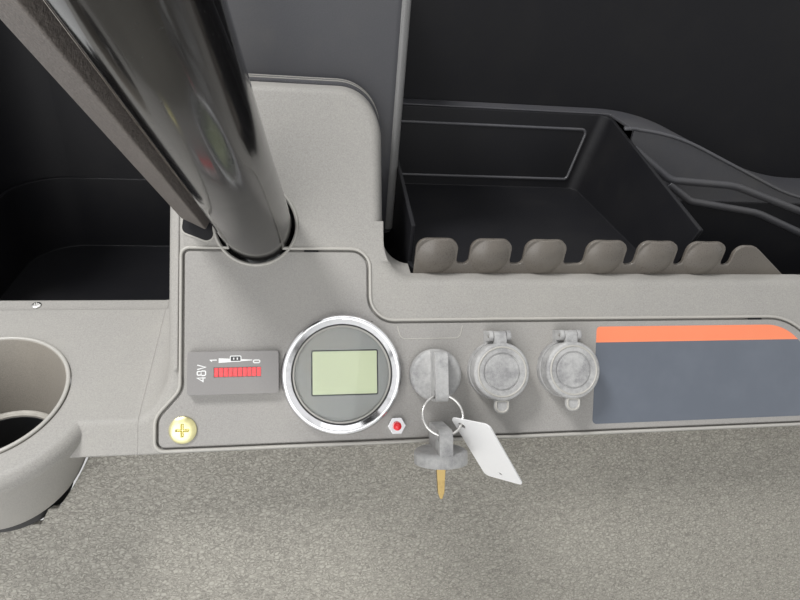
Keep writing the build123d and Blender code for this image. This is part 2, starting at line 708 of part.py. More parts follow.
def key_head():
    """Head of a key along local Z: round dust cap and flat grip with a ring hole."""
    thick, wide, high = KEY_GRIP
    top = KEY_DISC + high
    disc = Pos(0, 0, KEY_DISC / 2) * Cylinder(KEY_DISC_R, KEY_DISC)
    disc = fillet(disc.edges().filter_by(GeomType.CIRCLE).sort_by(Axis.Z)[-1], 3)
    half = wide / 2
    grip = outline(((-half, KEY_DISC - 1, 0), (half, KEY_DISC - 1, 0), (half, top, 5), (-half, top, 5)))
    grip = extrude(Plane.YZ.location * grip, amount=thick / 2, both=True)
    return disc + grip - Pos(0, *KEY_HOLE_AT) * Rot(0, 90, 0) * Cylinder(KEY_HOLE_R, 2 * thick)


def key_blade():
    """Pointed blade below a key's head."""
    wide, thick, long = BLADE_SIZE
    neck = wide - long
    flat = outline(((-wide / 2, 0, 0), (wide / 2, 0, 0), (wide / 3, neck, 0), (0, -long, 1), (-wide / 3, neck, 0)))
    return along_y(flat, -thick / 2, thick / 2)


def keys():
    """Key in the switch, the ring through its grip, and the spare key and blank tag that hang on the ring."""
    at_lock = on_face(*KEY_AT, WALL + FIT)
    upper = (at_lock * Pos(0, *KEY_HOLE_AT)).position - Vector(0, 0, RING_HANG)
    lean = radians(RING_LEAN)
    down = Vector(0, -sin(lean), -cos(lean))
    centre = upper + down * RING_R
    hoop = Plane(origin=centre, x_dir=(1, 0, 0), z_dir=Vector(1, 0, 0).cross(down))
    ring = hoop.location * Torus(RING_R, RING_WIRE_R)
    lean = radians(SPARE_LEAN)
    spare = Plane(origin=(0, 0, 0), x_dir=(1, 0, 0), z_dir=(0, sin(lean), cos(lean)))
    reach = (spare.location * Pos(0, *KEY_HOLE_AT)).position
    spare = Pos(centre + down * RING_R - Vector(0, 0, RING_HANG) - reach) * spare.location
    turn = radians(TAG_TURN)
    hung = centre + (Vector(1, 0, 0) * cos(turn) + down * sin(turn)) * RING_R
    card = Plane(origin=hung, x_dir=TAG_EDGE, z_dir=TAG_FACE)
    wide, high, thick = TAG_SIZE
    x, y = TAG_HOLE_AT
    sheet = Pos(wide / 2 - x, high / 2 - y) * RectangleRounded(wide, high, 4)
    sheet -= Circle(TAG_HOLE_R)
    sheet -= Pos(wide / 2 - x, high - 2 * y) * Circle(TAG_HOLE_R / 2)
    tag = card.location * Pos(0, RING_HANG, -thick / 2) * extrude(sheet, amount=thick)
    return at_lock * key_head(), ring, spare * key_head(), spare * key_blade(), tag


def socket(place):
    """Accessory socket: collar, neck with its bore, rear body and nut, and hinge ears."""
    body = Pos(0, 0, SOCKET_COLLAR / 2) * Cylinder(SOCKET_R, SOCKET_COLLAR)
    body += Pos(0, 0, SOCKET_NECK_TOP / 2) * Cylinder(SOCKET_NECK_R, SOCKET_NECK_TOP)
    deep = SOCKET_BORE_DEPTH - SOCKET_NECK_TOP + WALL
    body += Pos(0, 0, -deep / 2) * Cylinder(SOCKET_BODY_R, deep)
    body += Pos(0, 0, -WALL - 2.5) * Cylinder(SOCKET_BODY_R + 4, 5)
    for u in (-EAR_X, EAR_X):
        ear = outline(((SOCKET_R - 6, 0, 0), (HINGE_AT + 4, 0, 0), (HINGE_AT + 4, HINGE_H + 3.5, 3.5),
                       (HINGE_AT - 3.5, HINGE_H + 3.5, 3.5), (HINGE_AT - 3.5, SOCKET_COLLAR, 0),
                       (SOCKET_R - 6, SOCKET_COLLAR, 0)))
        body += Plane.YZ.offset(u).location * Pos(0, 0, -EAR_WIDTH / 2) * extrude(ear, amount=EAR_WIDTH)
    body -= Pos(0, HINGE_AT, HINGE_H) * Rot(0, 90, 0) * Cylinder(HINGE_PIN_R, 40)
    body -= Pos(0, 0, SOCKET_NECK_TOP - SOCKET_BORE_DEPTH / 2) * Cylinder(SOCKET_BORE_R, SOCKET_BORE_DEPTH)
    return on_face(*place) * body


def hinge_pin(place):
    """Pin through the ears."""
    length = 2 * EAR_X + EAR_WIDTH
    return on_face(*place) * Pos(0, HINGE_AT, HINGE_H) * Rot(0, 90, 0) * Cylinder(HINGE_PIN_R, length)


def cap(place):
    """Hinged cap: disc, skirt round the neck, raised circle, pull tab and hinge tongue."""
    low = SOCKET_COLLAR + CAP_LIFT
    body = Pos(0, 0, (low + CAP_TOP) / 2) * Cylinder(CAP_R, CAP_TOP - low)
    body = fillet(body.edges().filter_by(GeomType.CIRCLE).sort_by(Axis.Z)[-1], 2)
    body -= Pos(0, 0, (low + SOCKET_NECK_TOP + FIT) / 2) * Cylinder(CAP_R - CAP_WALL, SOCKET_NECK_TOP + FIT - low)
    body -= Pos(0, 0, CAP_TOP) * (Cylinder(13.5, 1.2) - Cylinder(12.3, 1.2))
    tab = outline(((-5.5, -CAP_R + 3, 0), (-5.5, -CAP_R - 9, 5), (5.5, -CAP_R - 9, 5), (5.5, -CAP_R + 3, 0)))
    body += Pos(0, 0, CAP_TOP - 5) * extrude(tab, amount=2.5)
    tongue = Pos(0, (CAP_R - 4 + HINGE_AT) / 2, HINGE_H + 2) * Box(TONGUE_WIDTH, HINGE_AT - CAP_R + 4, 3.5)
    tongue += Pos(0, HINGE_AT, HINGE_H) * Rot(0, 90, 0) * Cylinder(3.6, TONGUE_WIDTH)
    tongue -= Cylinder(CAP_R - 1, 60)
    body += tongue
    body -= Pos(0, HINGE_AT, HINGE_H) * Rot(0, 90, 0) * Cylinder(HINGE_PIN_R + PIN_FIT, 40)
    return on_face(*place) * body


def panel_screw():
    """Domed screw at the panel's corner with its shank."""
    head = on_face(*SCREW_AT) * Cylinder(SCREW_R, 3, align=(Align.CENTER, Align.CENTER, Align.MIN))
    head = fillet(head.edges().filter_by(GeomType.CIRCLE).sort_by(Axis((0, 0, 0), tuple(FACE.z_dir)))[-1], 2)
    return head + on_face(*SCREW_AT, -4) * Cylinder(SCREW_SHANK_R, 10)


def column_tube(radius, inner, start, end):
    """Round tube along the column."""
    tube = Pos(0, 0, (start + end) / 2) * Cylinder(radius, end - start)
    if inner:
        tube -= Pos(0, 0, (start + end) / 2) * Cylinder(inner, end - start + 2)
    return COLUMN.location * tube


def column_cover():
    """Glossy tube round the jacket, carried on ribs."""
    cover = column_tube(COVER_R, COVER_R - COVER_WALL, COVER_FLARE, COVER_LENGTH)
    foot = Cone(COVER_FOOT_R, COVER_R, COVER_FLARE - COVER_START)
    foot -= Cone(COVER_FOOT_R - COVER_WALL, COVER_R - COVER_WALL, COVER_FLARE - COVER_START)
    cover += COLUMN.location * Pos(0, 0, (COVER_START + COVER_FLARE) / 2) * foot
    for place in (COVER_FLARE, COVER_LENGTH - 2 * BUSHING_LENGTH):
        cover += column_tube(COVER_R - COVER_WALL / 2, JACKET_R + FIT / 3, place, place + WALL)
    return cover


def column_channel():
    """Textured channel clipped to the outboard side of the column."""
    x1 = -COVER_FOOT_R - FIT
    x0 = x1 - CHANNEL_SIZE[0]
    y0, y1 = -CHANNEL_DROP, CHANNEL_SIZE[1] - CHANNEL_DROP
    section = outline(((x0, y0, 4), (x1, y0, 1), (x1, y1, 1), (x0, y1, 4)))
    wall = COVER_WALL
    hollow = outline((
        (x0 + wall, y0 + wall, 1.5), (x1 - wall, y0 + wall, 0.5), (x1 - wall, y1 + 9, 0), (x0 + wall, y1 + 9, 0),
    ))
    channel = extrude(section - hollow, amount=COVER_LENGTH - CHANNEL_START)
    return COLUMN.location * Pos(0, 0, CHANNEL_START) * Rot(0, 0, -CHANNEL_TURN) * channel


def steering_shaft():
    """Shaft through the jacket: wheel seat and threaded end, and a fork at its foot."""
    top = COVER_LENGTH + SHAFT_PROUD
    foot = -COLUMN_TAIL - 25
    seat = COVER_LENGTH + SHAFT_PROUD - 20
    shaft = column_tube(SHAFT_R, 0, foot, seat - WHEEL_SEAT)
    shaft += column_tube(WHEEL_SEAT_R, 0, seat - WHEEL_SEAT, seat)
    shaft += column_tube(WHEEL_SEAT_R - 3, 0, seat, top)
    fork = Pos(0, 0, foot - 6) * Cylinder(17, 14)
    for x in (-13, 13):
        fork += Pos(x, 0, foot - 24) * Box(7, 22, 28)
    fork -= Pos(0, 0, foot - 28) * Rot(0, 90, 0) * Cylinder(5, 60)
    return shaft + COLUMN.location * fork


def bushing(place):
    """Bearing bush between jacket and shaft."""
    return column_tube(JACKET_R - JACKET_WALL, SHAFT_R + SHAFT_FIT, place, place + BUSHING_LENGTH)


def cross_tube():
    """Tube across the cart under the dash."""
    y, z = CROSS_AT
    return along_x(Pos(y, z) * (Circle(CROSS_R) - Circle(CROSS_R - CROSS_WALL)), -CROSS_END, CROSS_END)


def column_saddle():
    """Block between the cross tube and the jacket."""
    deep = SADDLE_GAP + CROSS_R + JACKET_R
    body = Pos(0, -deep / 2, SADDLE_AT) * Box(48, deep, 40)
    body -= Pos(0, 0, SADDLE_AT) * Cylinder(JACKET_R + FIT / 3, 60)
    tube = Pos(*CROSS_CENTRE) * Rot(0, 90, 0) * Cylinder(CROSS_R + FIT / 3, 120)
    return COLUMN.location * body - tube


def column_clamp():
    """Strap over the jacket, bolted to the saddle."""
    strap = Pos(0, 0, SADDLE_AT) * Cylinder(JACKET_R + 4, 26)
    strap += Pos(0, 2 + FIT / 3, SADDLE_AT) * Box(64, 4, 26)
    strap -= Pos(0, -30, SADDLE_AT) * Box(90, 60, 60)
    strap -= Pos(0, 0, SADDLE_AT) * Cylinder(JACKET_R + FIT / 3, 60)
    return COLUMN.location * strap


def bracket(side):
    """Steel plate from the liner to the cross tube."""
    y, z = CROSS_AT
    top = min(z + 32, BIN_FLOOR - WALL)
    plate = outline(((LINER_FRONT, top, 0), (LINER_FRONT, z - 62, 0), (y - 24, z - 20, 12), (y - 24, top, 12)))
    x = side * CROSS_END
    body = along_x(plate, x, x + side * BRACKET_THICK)
    x0, x1 = sorted((x, x - side * BRACKET_FLANGE))
    return body + block(x0, x1, LINER_FRONT - BRACKET_THICK, LINER_FRONT, z - 62, top)


COLUMN_UP = Vector(-tan(radians(COLUMN_SWAY)), -cos(radians(COLUMN_RISE)), sin(radians(COLUMN_RISE)))
COLUMN = Plane(origin=on_face(*COLUMN_AT).position, x_dir=(COLUMN_UP.Z, 0, -COLUMN_UP.X), z_dir=COLUMN_UP)
SADDLE_AT = -205.0
CROSS_CENTRE = (COLUMN.location * Pos(0, -(SADDLE_GAP + CROSS_R + JACKET_R), SADDLE_AT)).position
CROSS_AT = (CROSS_CENTRE.Y, CROSS_CENTRE.Z)


def build():
    """Every node by name."""
    parts = {
        "instrument_panel": instrument_panel(),
        "ball_rail": ball_rail(),
        "tray": tray(),
        "rear_ledge": rear_ledge(),
        "riser": riser(),
        "cowl_liner": cowl_liner(),
        "left_bin": left_bin(),
        "right_bin": right_bin(),
        "cup_ring_left": cup_ring(-1),
        "cup_ring_right": cup_ring(1),
        "cup_holder_left": cup_holder(-1),
        "cup_holder_right": cup_holder(1),
        "lower_panel": lower_panel(),
        "battery_meter": battery_meter(),
        "meter_bar": meter_bar(),
        "gauge_case": gauge_case(),
        "gauge_bezel": gauge_bezel(),
        "gauge_dial": gauge_dial(),
        "gauge_display": gauge_display(),
        "gauge_glass": gauge_glass(),
        "key_switch": key_switch(),
        "panel_screw": panel_screw(),
        "column_jacket": column_tube(JACKET_R, JACKET_R - JACKET_WALL, -COLUMN_TAIL, COVER_LENGTH),
        "column_cover": column_cover(),
        "column_channel": column_channel(),
        "steering_shaft": steering_shaft(),
        "upper_bushing": bushing(COVER_LENGTH - BUSHING_LENGTH),
        "lower_bushing": bushing(-COLUMN_TAIL),
        "cross_tube": cross_tube(),
        "column_saddle": column_saddle(),
        "column_clamp": column_clamp(),
        "bracket_left": bracket(-1),
        "bracket_right": bracket(1),
    }
    parts["dash_moulding"], parts["cup_shelf_left"], parts["cup_shelf_right"] = dash_mouldings()
    parts["indicator_nut"], parts["indicator_lens"] = indicator()
    parts["ignition_key"], parts["key_ring"], parts["spare_key"], parts["spare_blade"], parts["key_tag"] = keys()
    for i, place in enumerate(SOCKET_AT, start=1):
        parts[f"socket_{i}"] = socket(place)
        parts[f"hinge_pin_{i}"] = hinge_pin(place)
        parts[f"cap_{i}"] = cap(place)
    return parts


if __name__ == "__main__":
    os.makedirs("parts", exist_ok=True)
    for name, shape in build().items():
        export_step(shape, f"parts/{name}.step")
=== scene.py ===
import json
import logging
from dataclasses import dataclass, field
from enum import Enum
from math import cos, radians, sin, tan
from typing import Any, Callable, Sequence

import bmesh
import bpy
import numpy as np
from mathutils import Matrix, Vector

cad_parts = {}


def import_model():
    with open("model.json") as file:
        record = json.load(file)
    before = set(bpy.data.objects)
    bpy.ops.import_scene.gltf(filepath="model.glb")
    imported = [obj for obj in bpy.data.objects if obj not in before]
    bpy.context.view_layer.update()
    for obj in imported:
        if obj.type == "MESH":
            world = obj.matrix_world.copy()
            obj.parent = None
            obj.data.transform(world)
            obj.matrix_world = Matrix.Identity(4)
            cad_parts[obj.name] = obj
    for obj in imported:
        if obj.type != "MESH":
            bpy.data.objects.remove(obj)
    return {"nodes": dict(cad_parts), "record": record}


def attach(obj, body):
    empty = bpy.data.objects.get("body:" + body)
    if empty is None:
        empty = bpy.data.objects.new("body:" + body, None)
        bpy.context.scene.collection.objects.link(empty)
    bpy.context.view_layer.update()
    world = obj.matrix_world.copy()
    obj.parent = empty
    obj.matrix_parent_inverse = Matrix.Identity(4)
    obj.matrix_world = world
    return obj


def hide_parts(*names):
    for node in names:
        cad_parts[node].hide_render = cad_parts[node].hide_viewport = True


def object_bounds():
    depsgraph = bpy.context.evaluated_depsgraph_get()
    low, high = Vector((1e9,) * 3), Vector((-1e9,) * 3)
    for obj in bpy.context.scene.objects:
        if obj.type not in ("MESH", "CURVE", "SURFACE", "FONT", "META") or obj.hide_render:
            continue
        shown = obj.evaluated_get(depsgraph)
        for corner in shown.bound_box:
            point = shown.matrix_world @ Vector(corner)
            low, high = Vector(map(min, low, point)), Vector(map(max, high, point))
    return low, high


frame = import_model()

Triple = tuple[float, float, float]
Pair = tuple[float, float]
Piece = bpy.types.Object
Materials = dict[str, bpy.types.Material]
Place = Callable[[np.ndarray, np.ndarray, np.ndarray], np.ndarray]

log = logging.getLogger("dashboard")
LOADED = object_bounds()
MM = 0.001
SHARP = 38.0                      # edges that turn more, in degrees, stay sharp
SINK = 0.3                        # how far trim reaches into what carries it
FILM = 0.1                        # the same for thin prints
LEAN = 36.0                       # of the instrument face
SLOT = (-59.0, 105.0, 27.0)       # the column's slot on the face: u, v, radius
COLUMN_SWAY, COLUMN_RISE = 3.1, 41.9
SHELF_MIDDLE = (-296.2, -18.8)    # y and z of the cups' middle line on the tilted shelves
SHELF_TILT = 10.0


class Side(Enum):
    """Which end of the dash a piece belongs to."""

    LEFT = -1
    RIGHT = 1


# ---------------------------------------------------------------- geometry


@dataclass(frozen=True)
class Axes:
    """A local frame in the dash, in millimetres: an origin, an x and a z direction."""

    origin: Triple
    x_dir: Triple
    z_dir: Triple

    def points(self, x: np.ndarray, y: np.ndarray, z: np.ndarray | float = 0.0) -> np.ndarray:
        """World points: origin + x * x axis + y * (z axis cross x axis) + z * z axis."""
        up = np.array(self.z_dir) / np.linalg.norm(self.z_dir)
        side = np.array(self.x_dir) / np.linalg.norm(self.x_dir)
        x, y, z = (a[..., None] for a in np.broadcast_arrays(x, y, z))
        return np.array(self.origin) + x * side + y * np.cross(up, side) + z * up

    def path(self, flat: np.ndarray, z: float = 0.0) -> np.ndarray:
        """World points of 2-D ones, at a height."""
        return self.points(flat[:, 0], flat[:, 1], z)

    def normal(self) -> np.ndarray:
        """The z axis."""
        return np.array(self.z_dir) / np.linalg.norm(self.z_dir)


# the leaning instrument face: x to the right of the gauge's centre, y up along the face, z off it
FACE = Axes((-215.0, -303.0, 0.0), (1.0, 0.0, 0.0), (0.0, -cos(radians(LEAN)), sin(radians(LEAN))))


def column_axes() -> Axes:
    """Frame of the steering column: base on the face, z up the column, y forward of it."""
    up = (-tan(radians(COLUMN_SWAY)), -cos(radians(COLUMN_RISE)), sin(radians(COLUMN_RISE)))
    base = FACE.points(np.array(SLOT[0]), np.array(SLOT[1]))
    return Axes(tuple(base.tolist()), (up[2], 0.0, -up[0]), up)


def shelf_axes(x: float) -> Axes:
    """Frame of the cup shelves' tilted top, at the cups' middle line."""
    tilt = radians(SHELF_TILT)
    return Axes((x, *SHELF_MIDDLE), (1.0, 0.0, 0.0), (0.0, -sin(tilt), cos(tilt)))


def world(x: np.ndarray, y: np.ndarray, z: np.ndarray) -> np.ndarray:
    """World points of world coordinates."""
    return np.stack(np.broadcast_arrays(x, y, z), axis=-1)


def shifted(place: Place, x0: float, y0: float, z0: float = 0.0) -> Place:
    """A place whose origin is moved in its own coordinates."""
    return lambda x, y, z: place(x0 + x, y0 + y, z0 + z)


def rounded(corners: Sequence[Triple], closed: bool = True, step: float = 9.0) -> np.ndarray:
    """Points along straight runs joined by tangent arcs.

    Each corner's arc has its centre on the corner's bisector, at r / sin(half angle) from it, and is
    divided at equal turns.

    Args:
        corners: Corners as (x, y, radius), counter-clockwise or clockwise.
        closed: Whether the last corner runs on to the first.
        step: Largest turn between two points, in degrees.

    Returns:
        Array of x, y points.
    """
    table = np.asarray(corners, float)
    count = len(table)
    runs: list[np.ndarray] = []
    for i, (x, y, r) in enumerate(table):
        here = np.array((x, y))
        if r <= 0 or (not closed and i in (0, count - 1)):
            runs.append(here[None])
            continue
        back, on = table[i - 1, :2] - here, table[(i + 1) % count, :2] - here
        back, on = back / np.linalg.norm(back), on / np.linalg.norm(on)
        half = np.arccos(np.clip(back @ on, -1, 1)) / 2
        axis = (back + on) / np.linalg.norm(back + on)
        centre = here + axis * r / np.sin(half)
        first, last = here + back * r / np.tan(half) - centre, here + on * r / np.tan(half) - centre
        turn = np.arctan2(first[0] * last[1] - first[1] * last[0], first @ last)
        t = np.linspace(0, turn, max(2, int(np.ceil(abs(turn) / radians(step))) + 1))
        square = np.array((-first[1], first[0]))
        runs.append(centre + np.outer(np.cos(t), first) + np.outer(np.sin(t), square))
    return np.concatenate(runs)


def linked(name: str, data: bpy.types.ID) -> Piece:
    """New object of the data, linked into the scene."""
    piece = bpy.data.objects.new(name, data)
    bpy.context.scene.collection.objects.link(piece)
    return piece


def grid_mesh(name: str, points: np.ndarray, loop_u: bool = False, loop_v: bool = False,
              caps: bool = False) -> Piece:
    """Object whose faces are the cells of a grid of points.

    Args:
        name: Name of the piece.
        points: Array of shape (m, n, 3), in millimetres.
        loop_u: Whether the last row joins the first.
        loop_v: Whether the last column joins the first.
        caps: Whether the first and last rows are closed by a face each.

    Returns:
        The object, at the origin, with smooth faces.
    """
    m, n = points.shape[:2]
    index = np.arange(m * n).reshape(m, n)
    if loop_u:
        index = np.concatenate((index, index[:1]))
    if loop_v:
        index = np.concatenate((index, index[:, :1]), axis=1)
    quads = np.stack((index[:-1, :-1], index[1:, :-1], index[1:, 1:], index[:-1, 1:]), axis=-1).reshape(-1, 4)
    faces: list = quads.tolist()
    if caps:
        ring = np.arange(m * n).reshape(m, n)
        faces += [ring[0].tolist(), ring[-1][::-1].tolist()]
    mesh = bpy.data.meshes.new(name)
    mesh.from_pydata((points.reshape(-1, 3) * MM).tolist(), [], faces)
    tidy_mesh(mesh)
    return linked(name, mesh)


def shade_smooth(mesh: bpy.types.Mesh) -> None:
    """Shade smooth between sharp edges."""
    mesh.shade_smooth()
    mesh.set_sharp_from_angle(angle=radians(SHARP))


def tidy_mesh(mesh: bpy.types.Mesh) -> None:
    """Merge doubled points, turn the faces outward and shade smooth between sharp edges."""
    work = bmesh.new()
    work.from_mesh(mesh)
    bmesh.ops.remove_doubles(work, verts=work.verts, dist=1e-6)
    bmesh.ops.recalc_face_normals(work, faces=work.faces)
    work.to_mesh(mesh)
    work.free()
    shade_smooth(mesh)


def join_meshes(name: str, pieces: Sequence[Piece]) -> Piece:
    """One object with the meshes of several, which are removed.

    Args:
        name: Name of the joined piece.
        pieces: The pieces to join, each with its place in its mesh.

    Returns:
        The joined object.
    """
    vertices, faces, base = [], [], 0
    for piece in pieces:
        co = np.empty(len(piece.data.vertices) * 3, np.float32)
        piece.data.vertices.foreach_get("co", co)
        vertices.append(co.reshape(-1, 3))
        faces += [[base + i for i in polygon.vertices] for polygon in piece.data.polygons]
        base += len(piece.data.vertices)
    mesh = bpy.data.meshes.new(name)
    mesh.from_pydata(np.concatenate(vertices).tolist(), [], faces)
    shade_smooth(mesh)
    for piece in pieces:
        bpy.data.objects.remove(piece)
    return linked(name, mesh)


def carried(path: np.ndarray, profile: np.ndarray, up: np.ndarray, closed: bool = False) -> np.ndarray:
    """Grid of a profile carried along a path.

    At each point the profile's x runs across the path, its y along up: point + x * (tangent x up) + y * up,
    with the tangent taken as the difference of the neighbours.

    Args:
        path: Points of shape (m, 3).
        profile: Points of shape (n, 2).
        up: One direction, or one for each path point.
        closed: Whether the path is a loop.

    Returns:
        Array of shape (m, n, 3).
    """
    if closed:
        ahead, behind = np.roll(path, -1, axis=0), np.roll(path, 1, axis=0)
    else:
        ahead, behind = np.concatenate((path[1:], path[-1:])), np.concatenate((path[:1], path[:-1]))
    tangent = ahead - behind
    tangent /= np.linalg.norm(tangent, axis=1, keepdims=True)
    up = np.broadcast_to(up, path.shape)
    across = np.cross(tangent, up)
    across /= np.linalg.norm(across, axis=1, keepdims=True)
    lift = np.cross(across, tangent)
    return path[:, None] + profile[None, :, :1] * across[:, None] + profile[None, :, 1:] * lift[:, None]


def bead(name: str, path: np.ndarray, size: Pair, up: np.ndarray, closed: bool = False, count: int = 9,
         sink: float = SINK) -> Piece:
    """Half-round bead carried along a path.

    The profile is half an ellipse, x = width / 2 * cos t and y = height * sin t, on a foot sunk a little
    into what carries it.

    Args:
        name: Name of the piece.
        path: Points of its foot's middle line.
        size: Width and height.
        up: Direction of its height, or one for each path point.
        closed: Whether the path is a loop.
        count: Points of the half round.
        sink: Depth of its foot.

    Returns:
        The object.
    """
    half, height = size[0] / 2, size[1]
    t = np.linspace(0, np.pi, count)
    dome = np.stack((np.cos(t) * half, np.sin(t) * height), axis=-1)
    profile = np.concatenate((dome, ((-half, -sink), (half, -sink))))
    return grid_mesh(name, carried(path, profile, up, closed), closed, True, not closed)


def box_corners(x0: float, y0: float, x1: float, y1: float, r: float) -> list[Triple]:
    """Corners of a rectangle with one radius, counter-clockwise from the lower left."""
    return [(x0, y0, r), (x1, y0, r), (x1, y1, r), (x0, y1, r)]


def turned(name: str, profile: Sequence[Pair], place: Place, count: int = 64) -> Piece:
    """Surface of a radius and height profile turned about an axis.

    The grid is (r cos t, r sin t, z) over the profile and t; a profile that starts and ends at radius 0
    makes a closed form.

    Args:
        name: Name of the piece.
        profile: (radius, height) points.
        place: Maps local x, y, z arrays to world points in millimetres.
        count: Divisions of the turn.

    Returns:
        The object.
    """
    table = np.asarray(profile, float)
    t = np.linspace(0, 2 * np.pi, count, endpoint=False)
    r, z = table[:, :1], table[:, 1:]
    x, y = r * np.cos(t), r * np.sin(t)
    return grid_mesh(name, place(x, y, np.broadcast_to(z, x.shape)), loop_v=True)


def ring_path(radius: float, count: int = 72) -> np.ndarray:
    """Points of a circle about the origin."""
    t = np.linspace(0, 2 * np.pi, count, endpoint=False)
    return np.stack((np.cos(t), np.sin(t)), axis=-1) * radius


def ribbon(points: np.ndarray, width: float, closed: bool = False) -> np.ndarray:
    """Flat strip along 2-D points: each point is moved half a width to either side of the mean direction.

    Args:
        points: Array of x, y.
        width: Strip width.
        closed: Whether the points are a loop.

    Returns:
        Array of shape (n, 2, 2).
    """
    ahead = np.roll(points, -1, axis=0) - points
    if not closed:
        ahead[-1] = ahead[-2]
    ahead /= np.linalg.norm(ahead, axis=1, keepdims=True)
    behind = np.roll(ahead, 1, axis=0)
    if not closed:
        behind[0] = ahead[0]
    side = ahead + behind
    side /= np.linalg.norm(side, axis=1, keepdims=True)
    cosine = np.clip((side * ahead).sum(axis=1, keepdims=True), 0.5, 1)
    across = np.stack((-side[:, 1], side[:, 0]), axis=-1) * (width / 2) / cosine
    return np.stack((points - across, points + across), axis=1)


def stroke(name: str, points: np.ndarray, width: float, place: Place, low: float, high: float,
           closed: bool = False) -> Piece:
    """Solid flat strip along 2-D points, between two heights.

    The section at each point is a rectangle: both sides of the ribbon, at the lower and the upper height.

    Args:
        name: Name of the piece.
        points: Array of x, y.
        width: Strip width.
        place: Maps x, y, height arrays to world points.
        low: Height of the underside.
        high: Height of the top.
        closed: Whether the points are a loop.

    Returns:
        The object.
    """
    sides = ribbon(points, width, closed)
    ring = np.stack((sides[:, 0], sides[:, 0], sides[:, 1], sides[:, 1]), axis=1)
    height = np.broadcast_to(np.array((low, high, high, low)), ring.shape[:2])
    return grid_mesh(name, place(ring[..., 0], ring[..., 1], height), closed, True, not closed)


def plate(name: str, edge: np.ndarray, place: Place, low: float, high: float) -> Piece:
    """Solid plate with a given edge, between two heights.

    Args:
        name: Name of the piece.
        edge: Closed outline as an array of x, y, counter-clockwise.
        place: Maps x, y, height arrays to world points.
        low: Height of the underside.
        high: Height of the top.

    Returns:
        The object.
    """
    flat = np.stack((edge, edge))
    height = np.broadcast_to(np.array((low, high))[:, None], flat.shape[:2])
    return grid_mesh(name, place(flat[..., 0], flat[..., 1], height), loop_v=True, caps=True)


def cross_screw(name: str, radius: float, height: float, shank: float, place: Place) -> Piece:
    """Domed screw with a cross recess and a shank below.

    The top is height * root(1 - (r / 1.08 radius) squared), less a recess where the nearer of two crossed
    bars is reached; three more rows close the head's underside and the shank.

    Args:
        name: Name of the piece.
        radius: Radius of the head.
        height: Height of the dome.
        shank: Length below the head.
        place: Maps local x, y, z arrays to world points.

    Returns:
        The object.
    """
    r, t = np.linspace(0, radius, 30)[:, None], np.linspace(0, 2 * np.pi, 96, endpoint=False)[None]
    x, y = r * np.cos(t), r * np.sin(t)
    arm, reach = radius * 0.11, radius * 0.5
    along = np.maximum(np.abs(x) - arm, np.abs(y) - reach)
    across = np.maximum(np.abs(y) - arm, np.abs(x) - reach)
    recess = np.clip(-np.minimum(along, across) / (arm * 0.8), 0, 1) * height * 0.5
    z = height * np.sqrt(1 - (r / (1.08 * radius)) ** 2) - recess
    foot = np.array(((radius, 0.0), (radius * 0.26, 0.0), (radius * 0.26, -shank), (0.0, -shank)))
    x = np.concatenate((x, foot[:, :1] * np.cos(t)))
    y = np.concatenate((y, foot[:, :1] * np.sin(t)))
    z = np.concatenate((z, np.broadcast_to(foot[:, 1:], (4, t.shape[1]))))
    return grid_mesh(name, place(x, y, z), loop_v=True)


def hex_bolt(name: str, across: float, height: float, place: Place) -> Piece:
    """Hexagon head on a round washer face: rings of radius and height about the axis, six-sided above it."""
    t = np.linspace(0, 2 * np.pi, 48, endpoint=False)
    six = 1 / np.cos((t + np.pi / 6) % (np.pi / 3) - np.pi / 6)
    half = across / 2
    rows = np.array((  # radius, height, six-sided or round
        (0.0, 0.0, 0), (half * 1.25, 0.0, 0), (half * 1.25, 1.2, 0), (half, 1.4, 1), (half, height - 0.6, 1),
        (half * 0.93, height, 0), (0.0, height, 0),
    ))
    r = rows[:, :1] * np.where(rows[:, 2:] > 0, six[None], 1.0)
    z = np.broadcast_to(rows[:, 1:2], r.shape)
    return grid_mesh(name, place(r * np.cos(t), r * np.sin(t), z), loop_v=True)


def finish_piece(piece: Piece, material: bpy.types.Material, body: str = "dash") -> Piece:
    """Give a new piece its material and the body that it rides on.

    Args:
        piece: The piece.
        material: Its finish.
        body: The CAD body.

    Returns:
        The same piece.
    """
    piece.data.materials.clear()
    piece.data.materials.append(material)
    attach(piece, body)
    log.info("piece %s: %d faces, on %s", piece.name, len(piece.data.polygons), body)
    return piece


# ---------------------------------------------------------------- shader maths


class Value:
    """A socket or number of one node tree, with arithmetic that adds Math nodes."""

    def __init__(self, tree: "Tree", item: Any) -> None:
        """Keep the tree and the socket or number."""
        self.tree = tree
        self.item = item

    def _math(self, operation: str, *terms: Any, clamp: bool = False) -> "Value":
        """Math node of the operation on the terms."""
        inputs = {i: t for i, t in enumerate(terms)}
        return self.tree.node("ShaderNodeMath", {"operation": operation, "use_clamp": clamp}, inputs)

    def __add__(self, other: Any) -> "Value":
        """Sum."""
        return self._math("ADD", self, other)

    __radd__ = __add__

    def __sub__(self, other: Any) -> "Value":
        """Difference."""
        return self._math("SUBTRACT", self, other)

    def __rsub__(self, other: Any) -> "Value":
        """Difference from a number."""
        return self._math("SUBTRACT", other, self)

    def __mul__(self, other: Any) -> "Value":
        """Product."""
        return self._math("MULTIPLY", self, other)

    __rmul__ = __mul__

    def clamp(self) -> "Value":
        """Held between 0 and 1."""
        return self._math("ADD", self, 0.0, clamp=True)

    def ramp(self, low: float, high: float) -> "Value":
        """0 up to low, 1 from high, smooth between."""
        return self.tree.node(
            "ShaderNodeMapRange", {"interpolation_type": "SMOOTHSTEP"},
            {"Value": self, "From Min": low, "From Max": high, "To Min": 0.0, "To Max": 1.0},
        )


